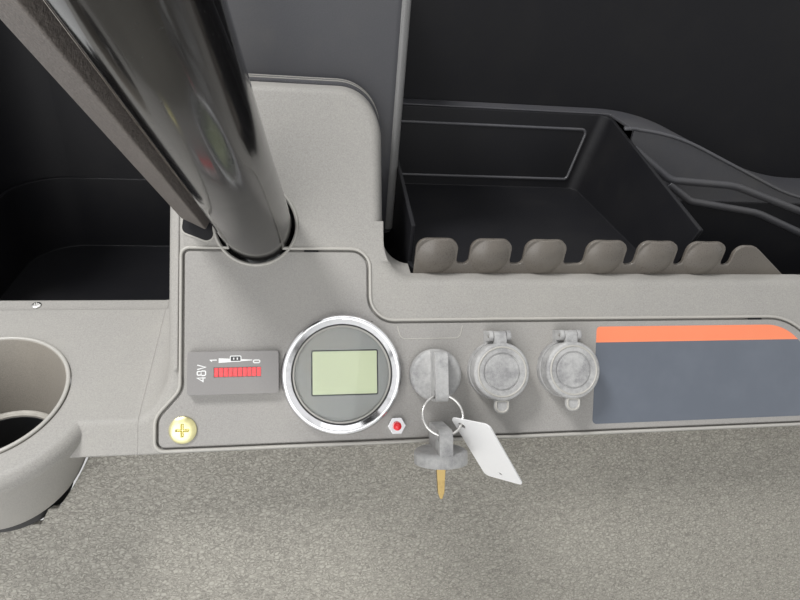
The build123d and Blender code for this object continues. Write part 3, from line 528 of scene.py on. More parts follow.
class Tree:
    """Node tree of one material."""

    def __init__(self, name: str) -> None:
        """Make a material with an empty tree and a Principled shader."""
        self.material = bpy.data.materials.new(name)
        self.material.use_nodes = True
        self.nodes = self.material.node_tree.nodes
        self.links = self.material.node_tree.links
        self.nodes.clear()
        self.output = self.nodes.new("ShaderNodeOutputMaterial")
        self.shader = self.nodes.new("ShaderNodeBsdfPrincipled")
        self.links.new(self.shader.outputs[0], self.output.inputs[0])
        self._place: Value | None = None

    def node(self, kind: str, settings: dict[str, Any] | None = None, inputs: dict[Any, Any] | None = None,
             output: Any = 0) -> Value:
        """Add one node.

        Args:
            kind: Its Blender type.
            settings: Properties, set before the sockets.
            inputs: Values or links of its sockets, by name or place.
            output: Name or place of the output that is returned.

        Returns:
            The output as a Value.
        """
        made = self.nodes.new(kind)
        for key, setting in (settings or {}).items():
            setattr(made, key, setting)
        for key, given in (inputs or {}).items():
            self.feed(made.inputs[key], given)
        return Value(self, made.outputs[output])

    def feed(self, socket: bpy.types.NodeSocket, given: Any) -> None:
        """Link or set one socket."""
        if isinstance(given, Value):
            given = given.item
        if isinstance(given, bpy.types.NodeSocket):
            self.links.new(given, socket)
        elif isinstance(given, tuple) and len(given) == 3 and len(socket.default_value) == 4:
            socket.default_value = (*given, 1)
        else:
            socket.default_value = given

    def place(self) -> Value:
        """Object coordinates, in metres."""
        if self._place is None:
            self._place = self.node("ShaderNodeTexCoord", output="Object")
        return self._place

    def noise(self, size: float, detail: float = 2.0, rough: float = 0.5, shift: float = 0.0) -> Value:
        """Noise whose features are about size millimetres across."""
        where = self.place()
        if shift:
            offset = (shift, shift * 0.7, shift * 1.3)
            where = self.node("ShaderNodeVectorMath", {"operation": "ADD"}, {0: where, 1: offset})
        inputs = {"Vector": where, "Scale": 1 / (size * MM), "Detail": detail, "Roughness": rough}
        return self.node("ShaderNodeTexNoise", None, inputs)

    def cells(self, size: float, at: Value) -> Value:
        """Distance to the edge of cells about size millimetres across."""
        inputs = {"Vector": at, "Scale": 1 / (size * MM)}
        return self.node("ShaderNodeTexVoronoi", {"feature": "DISTANCE_TO_EDGE"}, inputs, "Distance")

    def mix(self, share: Any, low: Any, high: Any) -> Value:
        """Colour mix: low where share is 0, high where it is 1."""
        return self.node("ShaderNodeMix", {"data_type": "RGBA"}, {0: share, 6: low, 7: high}, 2)

    def bump(self, height: Value, depth: float, normal: Value | None = None) -> Value:
        """Normal bumped by a height of depth millimetres."""
        inputs: dict[str, Any] = {"Height": height, "Distance": depth * MM, "Strength": 1.0}
        if normal is not None:
            inputs["Normal"] = normal
        return self.node("ShaderNodeBump", None, inputs)

    def soft_edge(self, radius: float) -> Value:
        """Normal rounded over edges within a radius in millimetres."""
        return self.node("ShaderNodeBevel", {"samples": 4}, {"Radius": radius * MM})

    def edge_share(self, soft: Value) -> Value:
        """How far the rounded normal departs from the face's own: 0 on the flat."""
        own = self.node("ShaderNodeNewGeometry", output="Normal")
        dot = self.node("ShaderNodeVectorMath", {"operation": "DOT_PRODUCT"}, {0: soft, 1: own}, "Value")
        return (1 - dot).ramp(0.0, 0.25)

    def set(self, **sockets: Any) -> None:
        """Feed the Principled shader's sockets; underscores stand for spaces."""
        for key, given in sockets.items():
            self.feed(self.shader.inputs[key.replace("_", " ")], given)


def srgb(r: float, g: float, b: float) -> Triple:
    """Linear colour of a 0 to 255 screen colour."""
    c = np.array((r, g, b)) / 255
    return tuple(np.where(c <= 0.04045, c / 12.92, ((c + 0.055) / 1.055) ** 2.4).tolist())


def tone(colour: Triple, by: float, lift: float = 0.0) -> Triple:
    """Colour times a number plus another, held at 1."""
    return tuple(min(1, c * by + lift) for c in colour)


# ---------------------------------------------------------------- finishes


@dataclass(frozen=True)
class Finish:
    """A named surface whose look is painted into a node tree."""

    name: str
    colour: Triple

    def paint(self, tree: Tree) -> None:
        """Set the shader of a tree."""
        raise NotImplementedError

    def material(self) -> bpy.types.Material:
        """Build the material."""
        tree = Tree(self.name)
        self.paint(tree)
        return tree.material


@dataclass(frozen=True)
class MouldedPlastic(Finish):
    """Injection-moulded plastic: etched grain, faint mottle, dust in the grain, edges lighter: partly
    polished by hands, partly a painted highlight.
    """

    dust: Triple
    grain: float = 1.0
    depth: float = 0.05
    speckle: float = 0.5
    roughness: float = 0.55
    dustiness: float = 0.25
    edge: float = 0.35
    round: float = 1.2
    specular: float = 0.5

    def paint(self, tree: Tree) -> None:
        """Set the shader."""
        soft = tree.soft_edge(self.round)
        edge = tree.edge_share(soft)
        grit = tree.noise(self.grain, 3.0, 0.6)
        fine = tree.noise(self.grain * 0.45, 1.0, 0.5, shift=0.3)
        cloud = tree.noise(90, 3.0, 0.55, shift=0.9)
        smear = tree.noise(26, 4.0, 0.6, shift=1.7)
        speck = ((fine - 0.5) * 1.3 + (grit - 0.5) * 1.5) * self.speckle
        shade = tree.mix((speck + 0.5).clamp(), tone(self.colour, 0.62), tone(self.colour, 1.38))
        settle = (cloud.ramp(0.42, 0.72) * 0.6 + smear.ramp(0.5, 0.78) * 0.4) * self.dustiness
        shade = tree.mix(settle.clamp(), shade, self.dust)
        # edges take a lighter copy of the colour: partly polish from hands, partly a painted highlight of the
        # rounded edge
        shade = tree.mix((edge * self.edge).clamp(), shade, tone(self.colour, 1.7, 0.02))
        rough = settle * 0.25 + self.roughness + (grit - 0.5) * 0.3 - edge * 0.12
        tree.set(Base_Color=shade, Roughness=rough.clamp(), Specular_IOR_Level=self.specular,
                 Normal=tree.bump(grit + fine * 0.5, self.depth, soft))


@dataclass(frozen=True)
class PebbleSheet(Finish):
    """Thick sheet with a leather grain: short winding ridges and narrow valleys, the valleys darker.

    The valleys are the contour where a stretched noise crosses its middle value, and the cell edges of a
    finer net cut the ridges into short pieces.
    """

    valley: Triple
    cell: float = 3.4
    depth: float = 0.35

    def paint(self, tree: Tree) -> None:
        """Set the shader."""
        stretch = {0: tree.place(), 1: (0.62, 1.0, 1.0)}
        long = tree.node("ShaderNodeVectorMath", {"operation": "MULTIPLY"}, stretch)
        wave = tree.node("ShaderNodeTexNoise", None,
                         {"Vector": long, "Scale": 1 / (self.cell * MM), "Detail": 1.0, "Distortion": 0.9})
        off = wave - 0.5
        winding = tree.node("ShaderNodeMath", {"operation": "ABSOLUTE"}, {0: off}).ramp(0.008, 0.06)
        island = tree.cells(self.cell * 0.9, long).ramp(0.0, 0.3)
        ridge = winding * (island * 0.55 + 0.45)
        cloud = tree.noise(120, 3.0, 0.6)
        fine = tree.noise(0.7, 2.0)
        shade = tree.mix(ridge, self.valley, self.colour)
        worn = (cloud.ramp(0.4, 0.75) * 0.12 + (fine - 0.5) * 0.4).clamp()
        shade = tree.mix(worn, shade, tone(self.colour, 1.25))
        soft = tree.soft_edge(1.0)
        tree.set(Base_Color=shade, Roughness=(0.6 - ridge * 0.16 + (fine - 0.5) * 0.12).clamp(),
                 Normal=tree.bump(ridge + fine * 0.08, self.depth, soft))


@dataclass(frozen=True)
class GlossPaint(Finish):
    """Glossy black moulding or paint: clear top, faint ripple, fine scratches and dust."""

    roughness: float = 0.12

    def paint(self, tree: Tree) -> None:
        """Set the shader."""
        dusty = tree.noise(1.6, 2.0, 0.6).ramp(0.62, 0.8)
        cloud = tree.noise(60, 2.0).ramp(0.4, 0.7)
        haze = tree.noise(22, 3.0, 0.6, shift=0.8)
        ripple = tree.noise(14, 1.0, 0.4, shift=0.4)
        shade = tree.mix((dusty * cloud * 0.3).clamp(), self.colour, srgb(120, 116, 110))
        tree.set(Base_Color=shade, Roughness=(haze * 0.14 + self.roughness - 0.05 + dusty * 0.2).clamp(),
                 Coat_Weight=0.5, Coat_Roughness=0.08, Normal=tree.bump(ripple, 0.05, tree.soft_edge(0.8)))


@dataclass(frozen=True)
class WeatheredRubber(Finish):
    """Sun-bleached cap plastic: chalky bloom, darker scuffs and worn edges."""

    bloom: Triple

    def paint(self, tree: Tree) -> None:
        """Set the shader."""
        soft = tree.soft_edge(0.9)
        edge = tree.edge_share(soft)
        cloud = tree.noise(16, 5.0, 0.7)
        streak = tree.noise(2.4, 3.0, 0.7, shift=0.5)
        fine = tree.noise(0.5, 2.0)
        bloom = cloud.ramp(0.3, 0.62) * 0.7 + (streak - 0.5) * 0.7 + (fine - 0.5) * 0.4 + 0.2
        share = (bloom + edge * 0.3).clamp()
        tree.set(Base_Color=tree.mix(share, self.colour, self.bloom),
                 Roughness=(share * 0.22 + 0.5).clamp(), Normal=tree.bump(streak + fine * 0.6, 0.05, soft))


@dataclass(frozen=True)
class PlatedMetal(Finish):
    """Plated or plain metal: fine scratches, cloudy tarnish and a soft edge."""

    tarnish: Triple
    roughness: float = 0.16
    spread: float = 0.15
    metallic: float = 1.0

    def paint(self, tree: Tree) -> None:
        """Set the shader."""
        cloud = tree.noise(8, 4.0, 0.6)
        fine = tree.noise(0.6, 3.0, 0.7, shift=0.6)
        share = (cloud.ramp(0.45, 0.8) * 0.5 + fine.ramp(0.6, 0.8) * 0.3).clamp()
        tree.set(Base_Color=tree.mix(share, self.colour, self.tarnish), Metallic=self.metallic,
                 Roughness=(cloud * self.spread + self.roughness).clamp(),
                 Normal=tree.bump(fine, 0.01, tree.soft_edge(0.4)))


@dataclass(frozen=True)
class ClearGlass(Finish):
    """Instrument glass with a trace of dust."""

    def paint(self, tree: Tree) -> None:
        """Set the shader."""
        dusty = tree.noise(3, 3.0, 0.6).ramp(0.5, 0.8)
        tree.set(Base_Color=self.colour, Roughness=dusty * 0.08 + 0.02, Transmission_Weight=1.0, IOR=1.2,
                 Specular_IOR_Level=0.5)


@dataclass(frozen=True)
class LiquidCrystal(Finish):
    """Unlit display: pale green polariser with the faint grid of its segments."""

    def paint(self, tree: Tree) -> None:
        """Set the shader."""
        soft = tree.noise(30, 2.0)
        pixel = tree.noise(0.5, 0.0)
        shade = tree.mix(soft, tone(self.colour, 0.9), tone(self.colour, 1.08))
        tree.set(Base_Color=shade, Roughness=(pixel * 0.1 + 0.25).clamp(), Normal=tree.bump(pixel, 0.004))


@dataclass(frozen=True)
class LampLens(Finish):
    """Red lamp plastic, a little lit from within."""

    glow: float = 0.3

    def paint(self, tree: Tree) -> None:
        """Set the shader."""
        cloud = tree.noise(3, 2.0)
        shade = tree.mix(cloud, tone(self.colour, 0.8), self.colour)
        tree.set(Base_Color=shade, Emission_Color=shade, Emission_Strength=self.glow,
                 Roughness=(cloud * 0.1 + 0.2).clamp(), Coat_Weight=0.3)


@dataclass(frozen=True)
class PrintedFilm(Finish):
    """Printed sheet: even ink, slight fading and fibre or orange peel."""

    roughness: float = 0.35
    fade: float = 0.12
    peel: float = 0.02

    def paint(self, tree: Tree) -> None:
        """Set the shader."""
        cloud = tree.noise(34, 3.0, 0.6)
        fine = tree.noise(1.2, 2.0)
        shade = tree.mix(cloud.ramp(0.35, 0.75) * self.fade, self.colour, tone(self.colour, 1.3, 0.03))
        tree.set(Base_Color=shade, Roughness=(self.roughness + (fine - 0.5) * 0.12).clamp(),
                 Normal=tree.bump(fine, self.peel))


# every finish of the dash, by the record's material slots and a few more
FINISHES: tuple[Finish, ...] = (
    MouldedPlastic("dash_grey", srgb(158, 155, 150), srgb(186, 182, 172), grain=1.1, depth=0.09),
    MouldedPlastic("panel_grey", srgb(154, 151, 147), srgb(180, 176, 168), grain=1.0, depth=0.07),
    MouldedPlastic("bead_grey", srgb(178, 175, 168), srgb(196, 192, 182), grain=0.8, depth=0.02,
                   speckle=0.25, roughness=0.35, round=0.5),
    MouldedPlastic("cup_grey", srgb(146, 140, 131), srgb(174, 166, 152), grain=0.9, depth=0.04,
                   roughness=0.42),
    MouldedPlastic("liner_black", srgb(23, 23, 26), srgb(60, 58, 54), grain=0.8, depth=0.02, speckle=0.3,
                   roughness=0.5, dustiness=0.14, edge=0.4, round=1.8, specular=0.2),
    MouldedPlastic("edge_black", srgb(74, 74, 78), srgb(110, 106, 98), grain=0.8, depth=0.02,
                   speckle=0.3, roughness=0.32, dustiness=0.2, edge=0.5),
    MouldedPlastic("edge_grey", srgb(136, 135, 134), srgb(160, 156, 148), grain=0.8, depth=0.02,
                   speckle=0.3, roughness=0.32, dustiness=0.2, edge=0.5),
    MouldedPlastic("riser_grey", srgb(76, 76, 80), srgb(112, 108, 100), grain=0.9, depth=0.03,
                   speckle=0.4, roughness=0.42, dustiness=0.25, edge=0.6, round=2.0),
    MouldedPlastic("rail_grey", srgb(101, 95, 88), srgb(140, 134, 122), grain=1.1, depth=0.03,
                   speckle=0.3, roughness=0.3, dustiness=0.3, edge=1.0, round=1.5),
    MouldedPlastic("channel_grit", srgb(100, 94, 90), srgb(138, 130, 122), grain=2.1, depth=0.5,
                   speckle=0.8, roughness=0.6, dustiness=0.35, round=0.6),
    MouldedPlastic("black_plastic", srgb(40, 40, 42), srgb(96, 92, 86), grain=0.7, depth=0.02,
                   speckle=0.3, roughness=0.42, dustiness=0.3, round=0.6),
    MouldedPlastic("meter_black", srgb(132, 129, 127), srgb(156, 152, 146), grain=0.6, depth=0.012,
                   speckle=0.25, roughness=0.36, dustiness=0.4, edge=0.7, round=0.6),
    MouldedPlastic("dial_grey", srgb(142, 140, 139), srgb(160, 148, 132), grain=0.6, depth=0.004,
                   speckle=0.15, roughness=0.4, dustiness=0.6),
    PebbleSheet("mat_grey", srgb(170, 166, 155), srgb(124, 120, 112), 2.6, 0.2),
    GlossPaint("gloss_black", srgb(24, 23, 23)),
    GlossPaint("painted_steel", srgb(30, 30, 30), 0.35),
    WeatheredRubber("weathered_grey", srgb(128, 127, 128), srgb(184, 183, 181)),
    GlossPaint("seam_tan", srgb(142, 132, 120), 0.2),
    PlatedMetal("brass", srgb(184, 160, 108), srgb(120, 98, 66), 0.3, 0.2),
    PlatedMetal("chrome", srgb(226, 226, 228), srgb(176, 176, 178), 0.05, 0.08),
    PlatedMetal("steel", srgb(196, 195, 192), srgb(150, 148, 142), 0.2, 0.15),
    PlatedMetal("zinc", srgb(214, 208, 160), srgb(178, 168, 112), 0.22, 0.2),
    PlatedMetal("bronze", srgb(176, 140, 86), srgb(120, 92, 56), 0.35, 0.15),
    LiquidCrystal("display", srgb(204, 208, 174)),
    ClearGlass("glass", (0.92, 0.95, 0.94)),
    LampLens("red", srgb(226, 30, 40)),
    PrintedFilm("card", srgb(238, 237, 236), 0.4, 0.05),
    PlatedMetal("satin", srgb(150, 146, 138), srgb(118, 113, 105), 0.45, 0.2, 0.3),
    PrintedFilm("decal_band", srgb(248, 140, 100), 0.35, 0.1),
    PrintedFilm("decal_film", srgb(96, 102, 112), 0.14, 0.2),
    PrintedFilm("white_ink", srgb(232, 232, 230), 0.45, 0.08),
)


# ---------------------------------------------------------------- sub-assemblies


@dataclass
class CadNodes:
    """The carried-over solids and the finish that each takes."""

    finishes: dict[str, str] = field(default_factory=lambda: {
        "instrument_panel": "panel_grey", "battery_meter": "meter_black", "gauge_dial": "dial_grey",
        "column_channel": "channel_grit", "riser": "riser_grey", "rear_ledge": "riser_grey",
        "cup_ring_left": "cup_grey", "cup_ring_right": "cup_grey", "spare_blade": "brass",
    })

    def dress(self, materials: Materials) -> None:
        """Give every node its finish, from the record's slots unless this table says otherwise."""
        slots = {row["node"]: row["material_slot"] for row in frame["record"]["subparts"]}
        for name, node in frame["nodes"].items():
            finish = self.finishes.get(name, slots.get(name, "black_plastic"))
            if not node.material_slots:
                node.data.materials.append(None)
            for held in node.material_slots:
                held.material = materials[finish]
            log.info("node %s: %s", name, finish)


@dataclass
class PanelTrim:
    """Beads round the instrument panel and the column's slot, the key pocket's line and the pry slots."""

    gap: float = 1.5
    bead: float = 2.2
    bead_height: float = 1.1
    top: float = 86.0
    outline: tuple[tuple[float, float, float, float, float, float], ...] = (
        # u, v, radius, and how much each changes for each millimetre that the outline grows
        (18.0, 86.0, 11.0, 1.0, 1.0, 1.0),
        (18.0, 35.0, 20.0, 1.0, 1.0, -1.0),
        (385.0, 35.0, 45.0, 1.0, 1.0, 1.0),
        (385.0, -46.0, 4.0, 1.0, -1.0, 1.0),
        (-122.0, -46.0, 4.0, -1.0, -1.0, 1.0),
        (-122.0, -27.0, 12.0, -1.0, 0.4, 1.0),
        (-106.0, -9.0, 14.0, -1.0, 0.4, -0.5),
        (-106.0, 86.0, 3.0, -1.0, 1.0, 1.0),
    )
    lip: float = 2.2
    lip_height: float = 1.2
    lip_gap: float = 0.2
    pocket: tuple[Pair, ...] = ((40.0, 33.0), (42.0, 24.0), (86.0, 24.0), (88.0, 33.0))
    pocket_corner: float = 5.0
    pocket_line: Triple = (0.7, -0.2, 0.18)  # width, foot and top
    pry_height: float = 1.5
    pry_corner: float = 0.5
    pry_top: float = 0.1
    pry_slots: tuple[Triple, ...] = ((-26.0, 86.0, 10.0), (322.0, 35.0, 12.0), (14.0, 35.4, 8.0))

    def corners(self, grow: float) -> np.ndarray:
        """Panel outline grown outwards, as corners from the slot's right side round to its left."""
        cx, cy, r = SLOT
        reach = float(np.sqrt((r - grow) ** 2 - (cy - self.top - grow) ** 2))
        table = np.array(self.outline)
        inner = table[:, :3] + grow * table[:, 3:]
        ends = np.array(((cx + reach, self.top + grow, 0.0), (cx - reach, self.top + grow, 0.0)))
        return np.concatenate((ends[:1], inner, ends[1:]))

    def build(self, materials: Materials) -> None:
        """Make and dress the trim."""
        grow = self.gap + self.bead / 2
        flat = rounded(self.corners(grow), closed=False, step=7)
        edge = bead("panel_bead", FACE.path(flat), (self.bead, self.bead_height), FACE.normal())
        finish_piece(edge, materials["bead_grey"])
        cx, cy, r = SLOT
        around = ring_path(r + self.lip / 2 + self.lip_gap) + (cx, cy)
        lip = bead("slot_lip", FACE.path(around), (self.lip, self.lip_height), FACE.normal(), True)
        finish_piece(lip, materials["bead_grey"])
        seat = rounded([(*corner, self.pocket_corner) for corner in self.pocket], closed=False)
        wide, low, high = self.pocket_line
        line = stroke("pocket_line", seat, wide, FACE.points, low, high)
        finish_piece(line, materials["bead_grey"])
        slots = []
        for u, v, wide in self.pry_slots:
            edge = rounded(box_corners(u, v, u + wide, v + self.pry_height, self.pry_corner), step=30)
            slots.append(plate("pry_slot", edge, FACE.points, -SINK, self.pry_top))
        finish_piece(join_meshes("pry_slots", slots), materials["liner_black"])


@dataclass
class Decal:
    """Blank decal: a dark film with an orange band on top."""

    left_top: Pair = (193.0, 31.0)
    left_foot: Pair = (187.0, -42.0)
    right: float = 377.0
    round_top: float = 39.0
    band_foot: float = 19.0
    lift: float = 0.12

    def edge(self) -> np.ndarray:
        """Outline of film and band together, counter-clockwise from the left foot."""
        return rounded([
            (*self.left_foot, 3.0), (self.right, self.left_foot[1], 3.0),
            (self.right, self.left_top[1], self.round_top), (*self.left_top, 3.0),
        ], step=5)

    def part(self, name: str, above: bool) -> Piece:
        """Thin plate: the outline's points on one side of the band's foot, closed by the crossing points."""
        edge, level = self.edge(), self.band_foot
        following = np.roll(edge, -1, axis=0)
        keep = edge[:, 1] >= level if above else edge[:, 1] <= level
        crosses = (edge[:, 1] - level) * (following[:, 1] - level) < 0
        share = (level - edge[:, 1]) / np.where(crosses, following[:, 1] - edge[:, 1], 1.0)
        meet = edge + (following - edge) * share[:, None]
        order = np.concatenate((np.arange(len(edge))[keep], np.arange(len(edge))[crosses] + 0.5))
        points = np.concatenate((edge[keep], meet[crosses]))[np.argsort(order)]
        return plate(name, points, FACE.points, -FILM, self.lift)

    def build(self, materials: Materials) -> None:
        """Make and dress the decal."""
        finish_piece(self.part("decal_film", False), materials["decal_film"])
        finish_piece(self.part("decal_band", True), materials["decal_band"])


GLYPHS: dict[str, list[tuple[bool, list[Triple]]]] = {
    # closed, corners in a unit box as (x, y, radius)
    "4": [(False, [(0.78, 0.0, 0), (0.78, 1.0, 0), (0.0, 0.3, 0), (1.0, 0.3, 0)])],
    "8": [(True, [(0.1, 0.53, 0.2), (0.9, 0.53, 0.2), (0.9, 1.0, 0.22), (0.1, 1.0, 0.22)]),
          (True, [(0.0, 0.0, 0.25), (1.0, 0.0, 0.25), (1.0, 0.53, 0.25), (0.0, 0.53, 0.25)])],
    "V": [(False, [(0.0, 1.0, 0), (0.5, 0.0, 0), (1.0, 1.0, 0)])],
    "1": [(False, [(0.15, 0.75, 0), (0.6, 1.0, 0), (0.6, 0.0, 0)])],
    "0": [(True, [(0.05, 0.0, 0.42), (0.95, 0.0, 0.42), (0.95, 1.0, 0.42), (0.05, 1.0, 0.42)])],
}


@dataclass
class MeterPrint:
    """White print on the battery meter: voltage, the full and empty ends, a wedge and a small battery."""

    at: Pair = (-73.4, 3.0)
    proud: float = 5.0
    line: float = 0.75
    lift: float = 0.06
    voltage: str = "48V"
    voltage_foot: Pair = (-18.0, -5.4)
    glyph: Pair = (3.0, 5.4)
    pitch: float = 4.0
    one_foot: Pair = (-10.8, 7.5)
    zero_foot: Pair = (17.4, 6.3)
    small: Pair = (2.0, 4.2)
    wedge: tuple[float, float, float, float, float] = (-9.6, 12.4, 8.3, 3.2, 0.5)
    battery: tuple[float, float, float, float] = (-2.0, 7.6, 7.0, 3.6)
    battery_corner: float = 0.7
    ground_lift: float = 0.05
    mark_lift: float = 0.12
    edge_line: float = 0.6
    mark_line: float = 0.8
    mark_shares: Pair = (0.32, 0.66)  # of the battery's width
    mark_span: Pair = (0.3, 0.7)      # of its height

    @property
    def place(self) -> Place:
        """Places on the meter's front."""
        return shifted(FACE.points, *self.at, self.proud)

    def text(self, word: str, foot: Pair, size: Pair) -> list[Piece]:
        """Strokes of a word turned a quarter, so that it reads upwards: x = foot - y, y = foot + x."""
        pieces = []
        for i, letter in enumerate(word):
            for closed, corners in GLYPHS[letter]:
                scaled = [(x * size[0] + i * self.pitch, y * size[1], r * size[0]) for x, y, r in corners]
                flat = rounded(scaled, closed=closed, step=20)
                turned_flat = np.stack((foot[0] - flat[:, 1], foot[1] + flat[:, 0]), axis=-1)
                pieces.append(stroke("glyph", turned_flat, self.line, self.place, -FILM, self.lift, closed))
        return pieces

    def build(self, materials: Materials) -> None:
        """Make and dress the print."""
        pieces = self.text(self.voltage, self.voltage_foot, self.glyph)
        pieces += self.text("1", self.one_foot, self.small) + self.text("0", self.zero_foot, self.small)
        x0, x1, y, high, low = self.wedge
        taper = np.array(((x0, y - high / 2), (x1, y - low / 2), (x1, y + low / 2), (x0, y + high / 2)))
        pieces.append(plate("wedge", taper, self.place, -FILM, self.lift))
        finish_piece(join_meshes("meter_print", pieces), materials["white_ink"])
        x, y, wide, high = self.battery
        box = rounded(box_corners(x, y, x + wide, y + high, self.battery_corner), step=30)
        ground = plate("battery_ground", box, self.place, -FILM, self.lift + self.ground_lift)
        finish_piece(ground, materials["black_plastic"])
        top = self.lift + self.mark_lift
        marks = [stroke("battery_edge", box, self.edge_line, self.place, -FILM, top, True)]
        for share in self.mark_shares:
            bar = np.array([(x + wide * share, y + high * end) for end in self.mark_span])
            marks.append(stroke("battery_mark", bar, self.mark_line, self.place, -FILM, top))
        finish_piece(join_meshes("battery_symbol", marks), materials["white_ink"])


@dataclass
class GaugeTrim:
    """Dark ring inside the gauge's bezel, a painted shadow of the bezel, the worn ring, and the frame of its
    display.
    """

    shadow_ring: Pair = (34.2, 35.0)
    ring: Pair = (32.9, 34.2)
    glass_top: float = 2.9
    shadow_ring_proud: float = 0.3
    ring_proud: float = 0.4
    chamfer: float = 0.1
    display: tuple[float, float, float, float] = (2.0, 1.0, 46.0, 31.0)
    display_line: Triple = (0.9, 0.9, 1.15)  # width, foot and top

    def band(self, name: str, inner: float, outer: float, high: float) -> Piece:
        """Flat ring on the glass, its section a low trapezoid."""
        low, c = self.glass_top - FILM, self.chamfer
        rows = [(inner, low), (inner + c, high), (outer - c, high), (outer, low), (inner, low)]
        return turned(name, rows, FACE.points, 96)

    def build(self, materials: Materials) -> None:
        """Make and dress the rings and the frame."""
        # dark ring just inside the bezel: painted shadow cast by the bezel onto the glass
        shadow_ring = self.band("gauge_shadow_ring", *self.shadow_ring, self.glass_top + self.shadow_ring_proud)
        finish_piece(shadow_ring, materials["black_plastic"])
        ring = self.band("gauge_ring", *self.ring, self.glass_top + self.ring_proud)
        finish_piece(ring, materials["bead_grey"])
        u, v, wide, high = self.display
        corners = box_corners(u - wide / 2, v - high / 2, u + wide / 2, v + high / 2, 1.0)
        line, foot, top = self.display_line
        border = stroke("display_frame", rounded(corners, step=30), line, FACE.points, foot, top, True)
        finish_piece(border, materials["black_plastic"])


@dataclass
class Screws:
    """Cross-recess screws: the panel's large one, and the shelves' at their rear strips."""

    panel_at: Pair = (-106.6, -34.8)
    panel_radius: float = 9.0
    panel_height: float = 3.0
    panel_shank: float = 4.0
    shelf_at: tuple[Triple, ...] = (
        (-452.6, 4.0, 92.3), (-452.6, -70.0, 92.3), (452.6, 10.0, 92.3),
    )
    shelf_drop: float = 3.0
    shelf_radius: float = 3.6
    shelf_height: float = 1.5
    shelf_shank: float = 3.0

    def build(self, materials: Materials) -> None:
        """Make and dress the screws."""
        on_panel = shifted(FACE.points, *self.panel_at)
        name = "panel_screw_head"
        screw = cross_screw(name, self.panel_radius, self.panel_height, self.panel_shank, on_panel)
        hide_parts("panel_screw")
        finish_piece(screw, materials["zinc"])
        for i, (cup, x0, y0) in enumerate(self.shelf_at):
            on_shelf = shifted(shelf_axes(cup).points, x0, y0, -self.shelf_drop)
            name = f"shelf_screw_{i + 1}"
            small = cross_screw(name, self.shelf_radius, self.shelf_height, self.shelf_shank, on_shelf)
            finish_piece(small, materials["steel"])


@dataclass
class CapTrim:
    """Light bead round each socket cap's face, a painted highlight of its rim, and the cap's pull loop."""

    caps: tuple[tuple[str, float, float], ...] = (("cap_one", 111.5, 0.0), ("cap_two", 165.0, 0.0))
    top: float = 18.0
    rim_radius: float = 17.4
    rim_size: Pair = (1.3, 0.5)
    tab_top: float = 15.5
    loop_half: float = 4.4
    loop_ends: Pair = (20.5, 28.3)
    loop_radii: Pair = (1.5, 4.0)
    loop_size: Pair = (1.6, 1.0)

    def build(self, materials: Materials) -> None:
        """Make and dress both caps' trim."""
        for name, u, v in self.caps:
            # light bead round the cap's face: painted highlight of its rim
            around = ring_path(self.rim_radius) + (u, v)
            rim = bead(f"{name}_rim", FACE.path(around, self.top), self.rim_size, FACE.normal(), True)
            finish_piece(rim, materials["bead_grey"], name)
            left, right = u - self.loop_half, u + self.loop_half
            high, low = v - self.loop_ends[0], v - self.loop_ends[1]
            r0, r1 = self.loop_radii
            flat = rounded([(left, high, r0), (left, low, r1), (right, low, r1), (right, high, r0)])
            loop = bead(f"{name}_loop", FACE.path(flat, self.tab_top), self.loop_size, FACE.normal(), True)
            finish_piece(loop, materials["bead_grey"], name)


@dataclass
class CupTrim:
    """Light bead round each cup's rim, a painted highlight of its edge, and the satin band where its wall
    steps in.
    """

    cup_x: float = 452.6
    low_radius: float = 38.0
    taper: float = 11.0 / 49.2
    step_z: float = -68.0
    rim: float = 1.0
    rim_out: float = 1.6
    rim_size: Pair = (2.8, 0.9)
    band: tuple[Pair, ...] = (
        (33.3, -0.4), (33.8, 0.7), (35.2, 1.2), (36.8, 1.4), (37.7, 2.2), (37.7, -0.4), (33.3, -0.4),
    )

    def build(self, materials: Materials) -> None:
        """Make and dress both cups' trim.

        The rim runs where the tapered wall meets the tilted shelf:
        radius = level / (1 - taper * tan(tilt) * sin t).
        """
        (y0, z0), fall = SHELF_MIDDLE, tan(radians(SHELF_TILT))
        t = np.linspace(0, 2 * np.pi, 96, endpoint=False)
        level = self.low_radius + self.taper * (z0 + self.rim - self.step_z)
        r = (level + self.rim_out) / (1 - self.taper * fall * np.sin(t))
        for side in Side:
            name, x = side.name.lower(), side.value * self.cup_x
            path = world(x + r * np.cos(t), y0 + r * np.sin(t), z0 + self.rim + r * np.sin(t) * fall)
            # light bead on the rim: painted highlight of the cup's edge
            rim = bead(f"cup_rim_highlight_{name}", path, self.rim_size, shelf_axes(x).normal(), True)
            finish_piece(rim, materials["bead_grey"])
            band = turned(f"cup_band_{name}", self.band, shifted(world, x, y0, self.step_z), 96)
            finish_piece(band, materials["satin"])


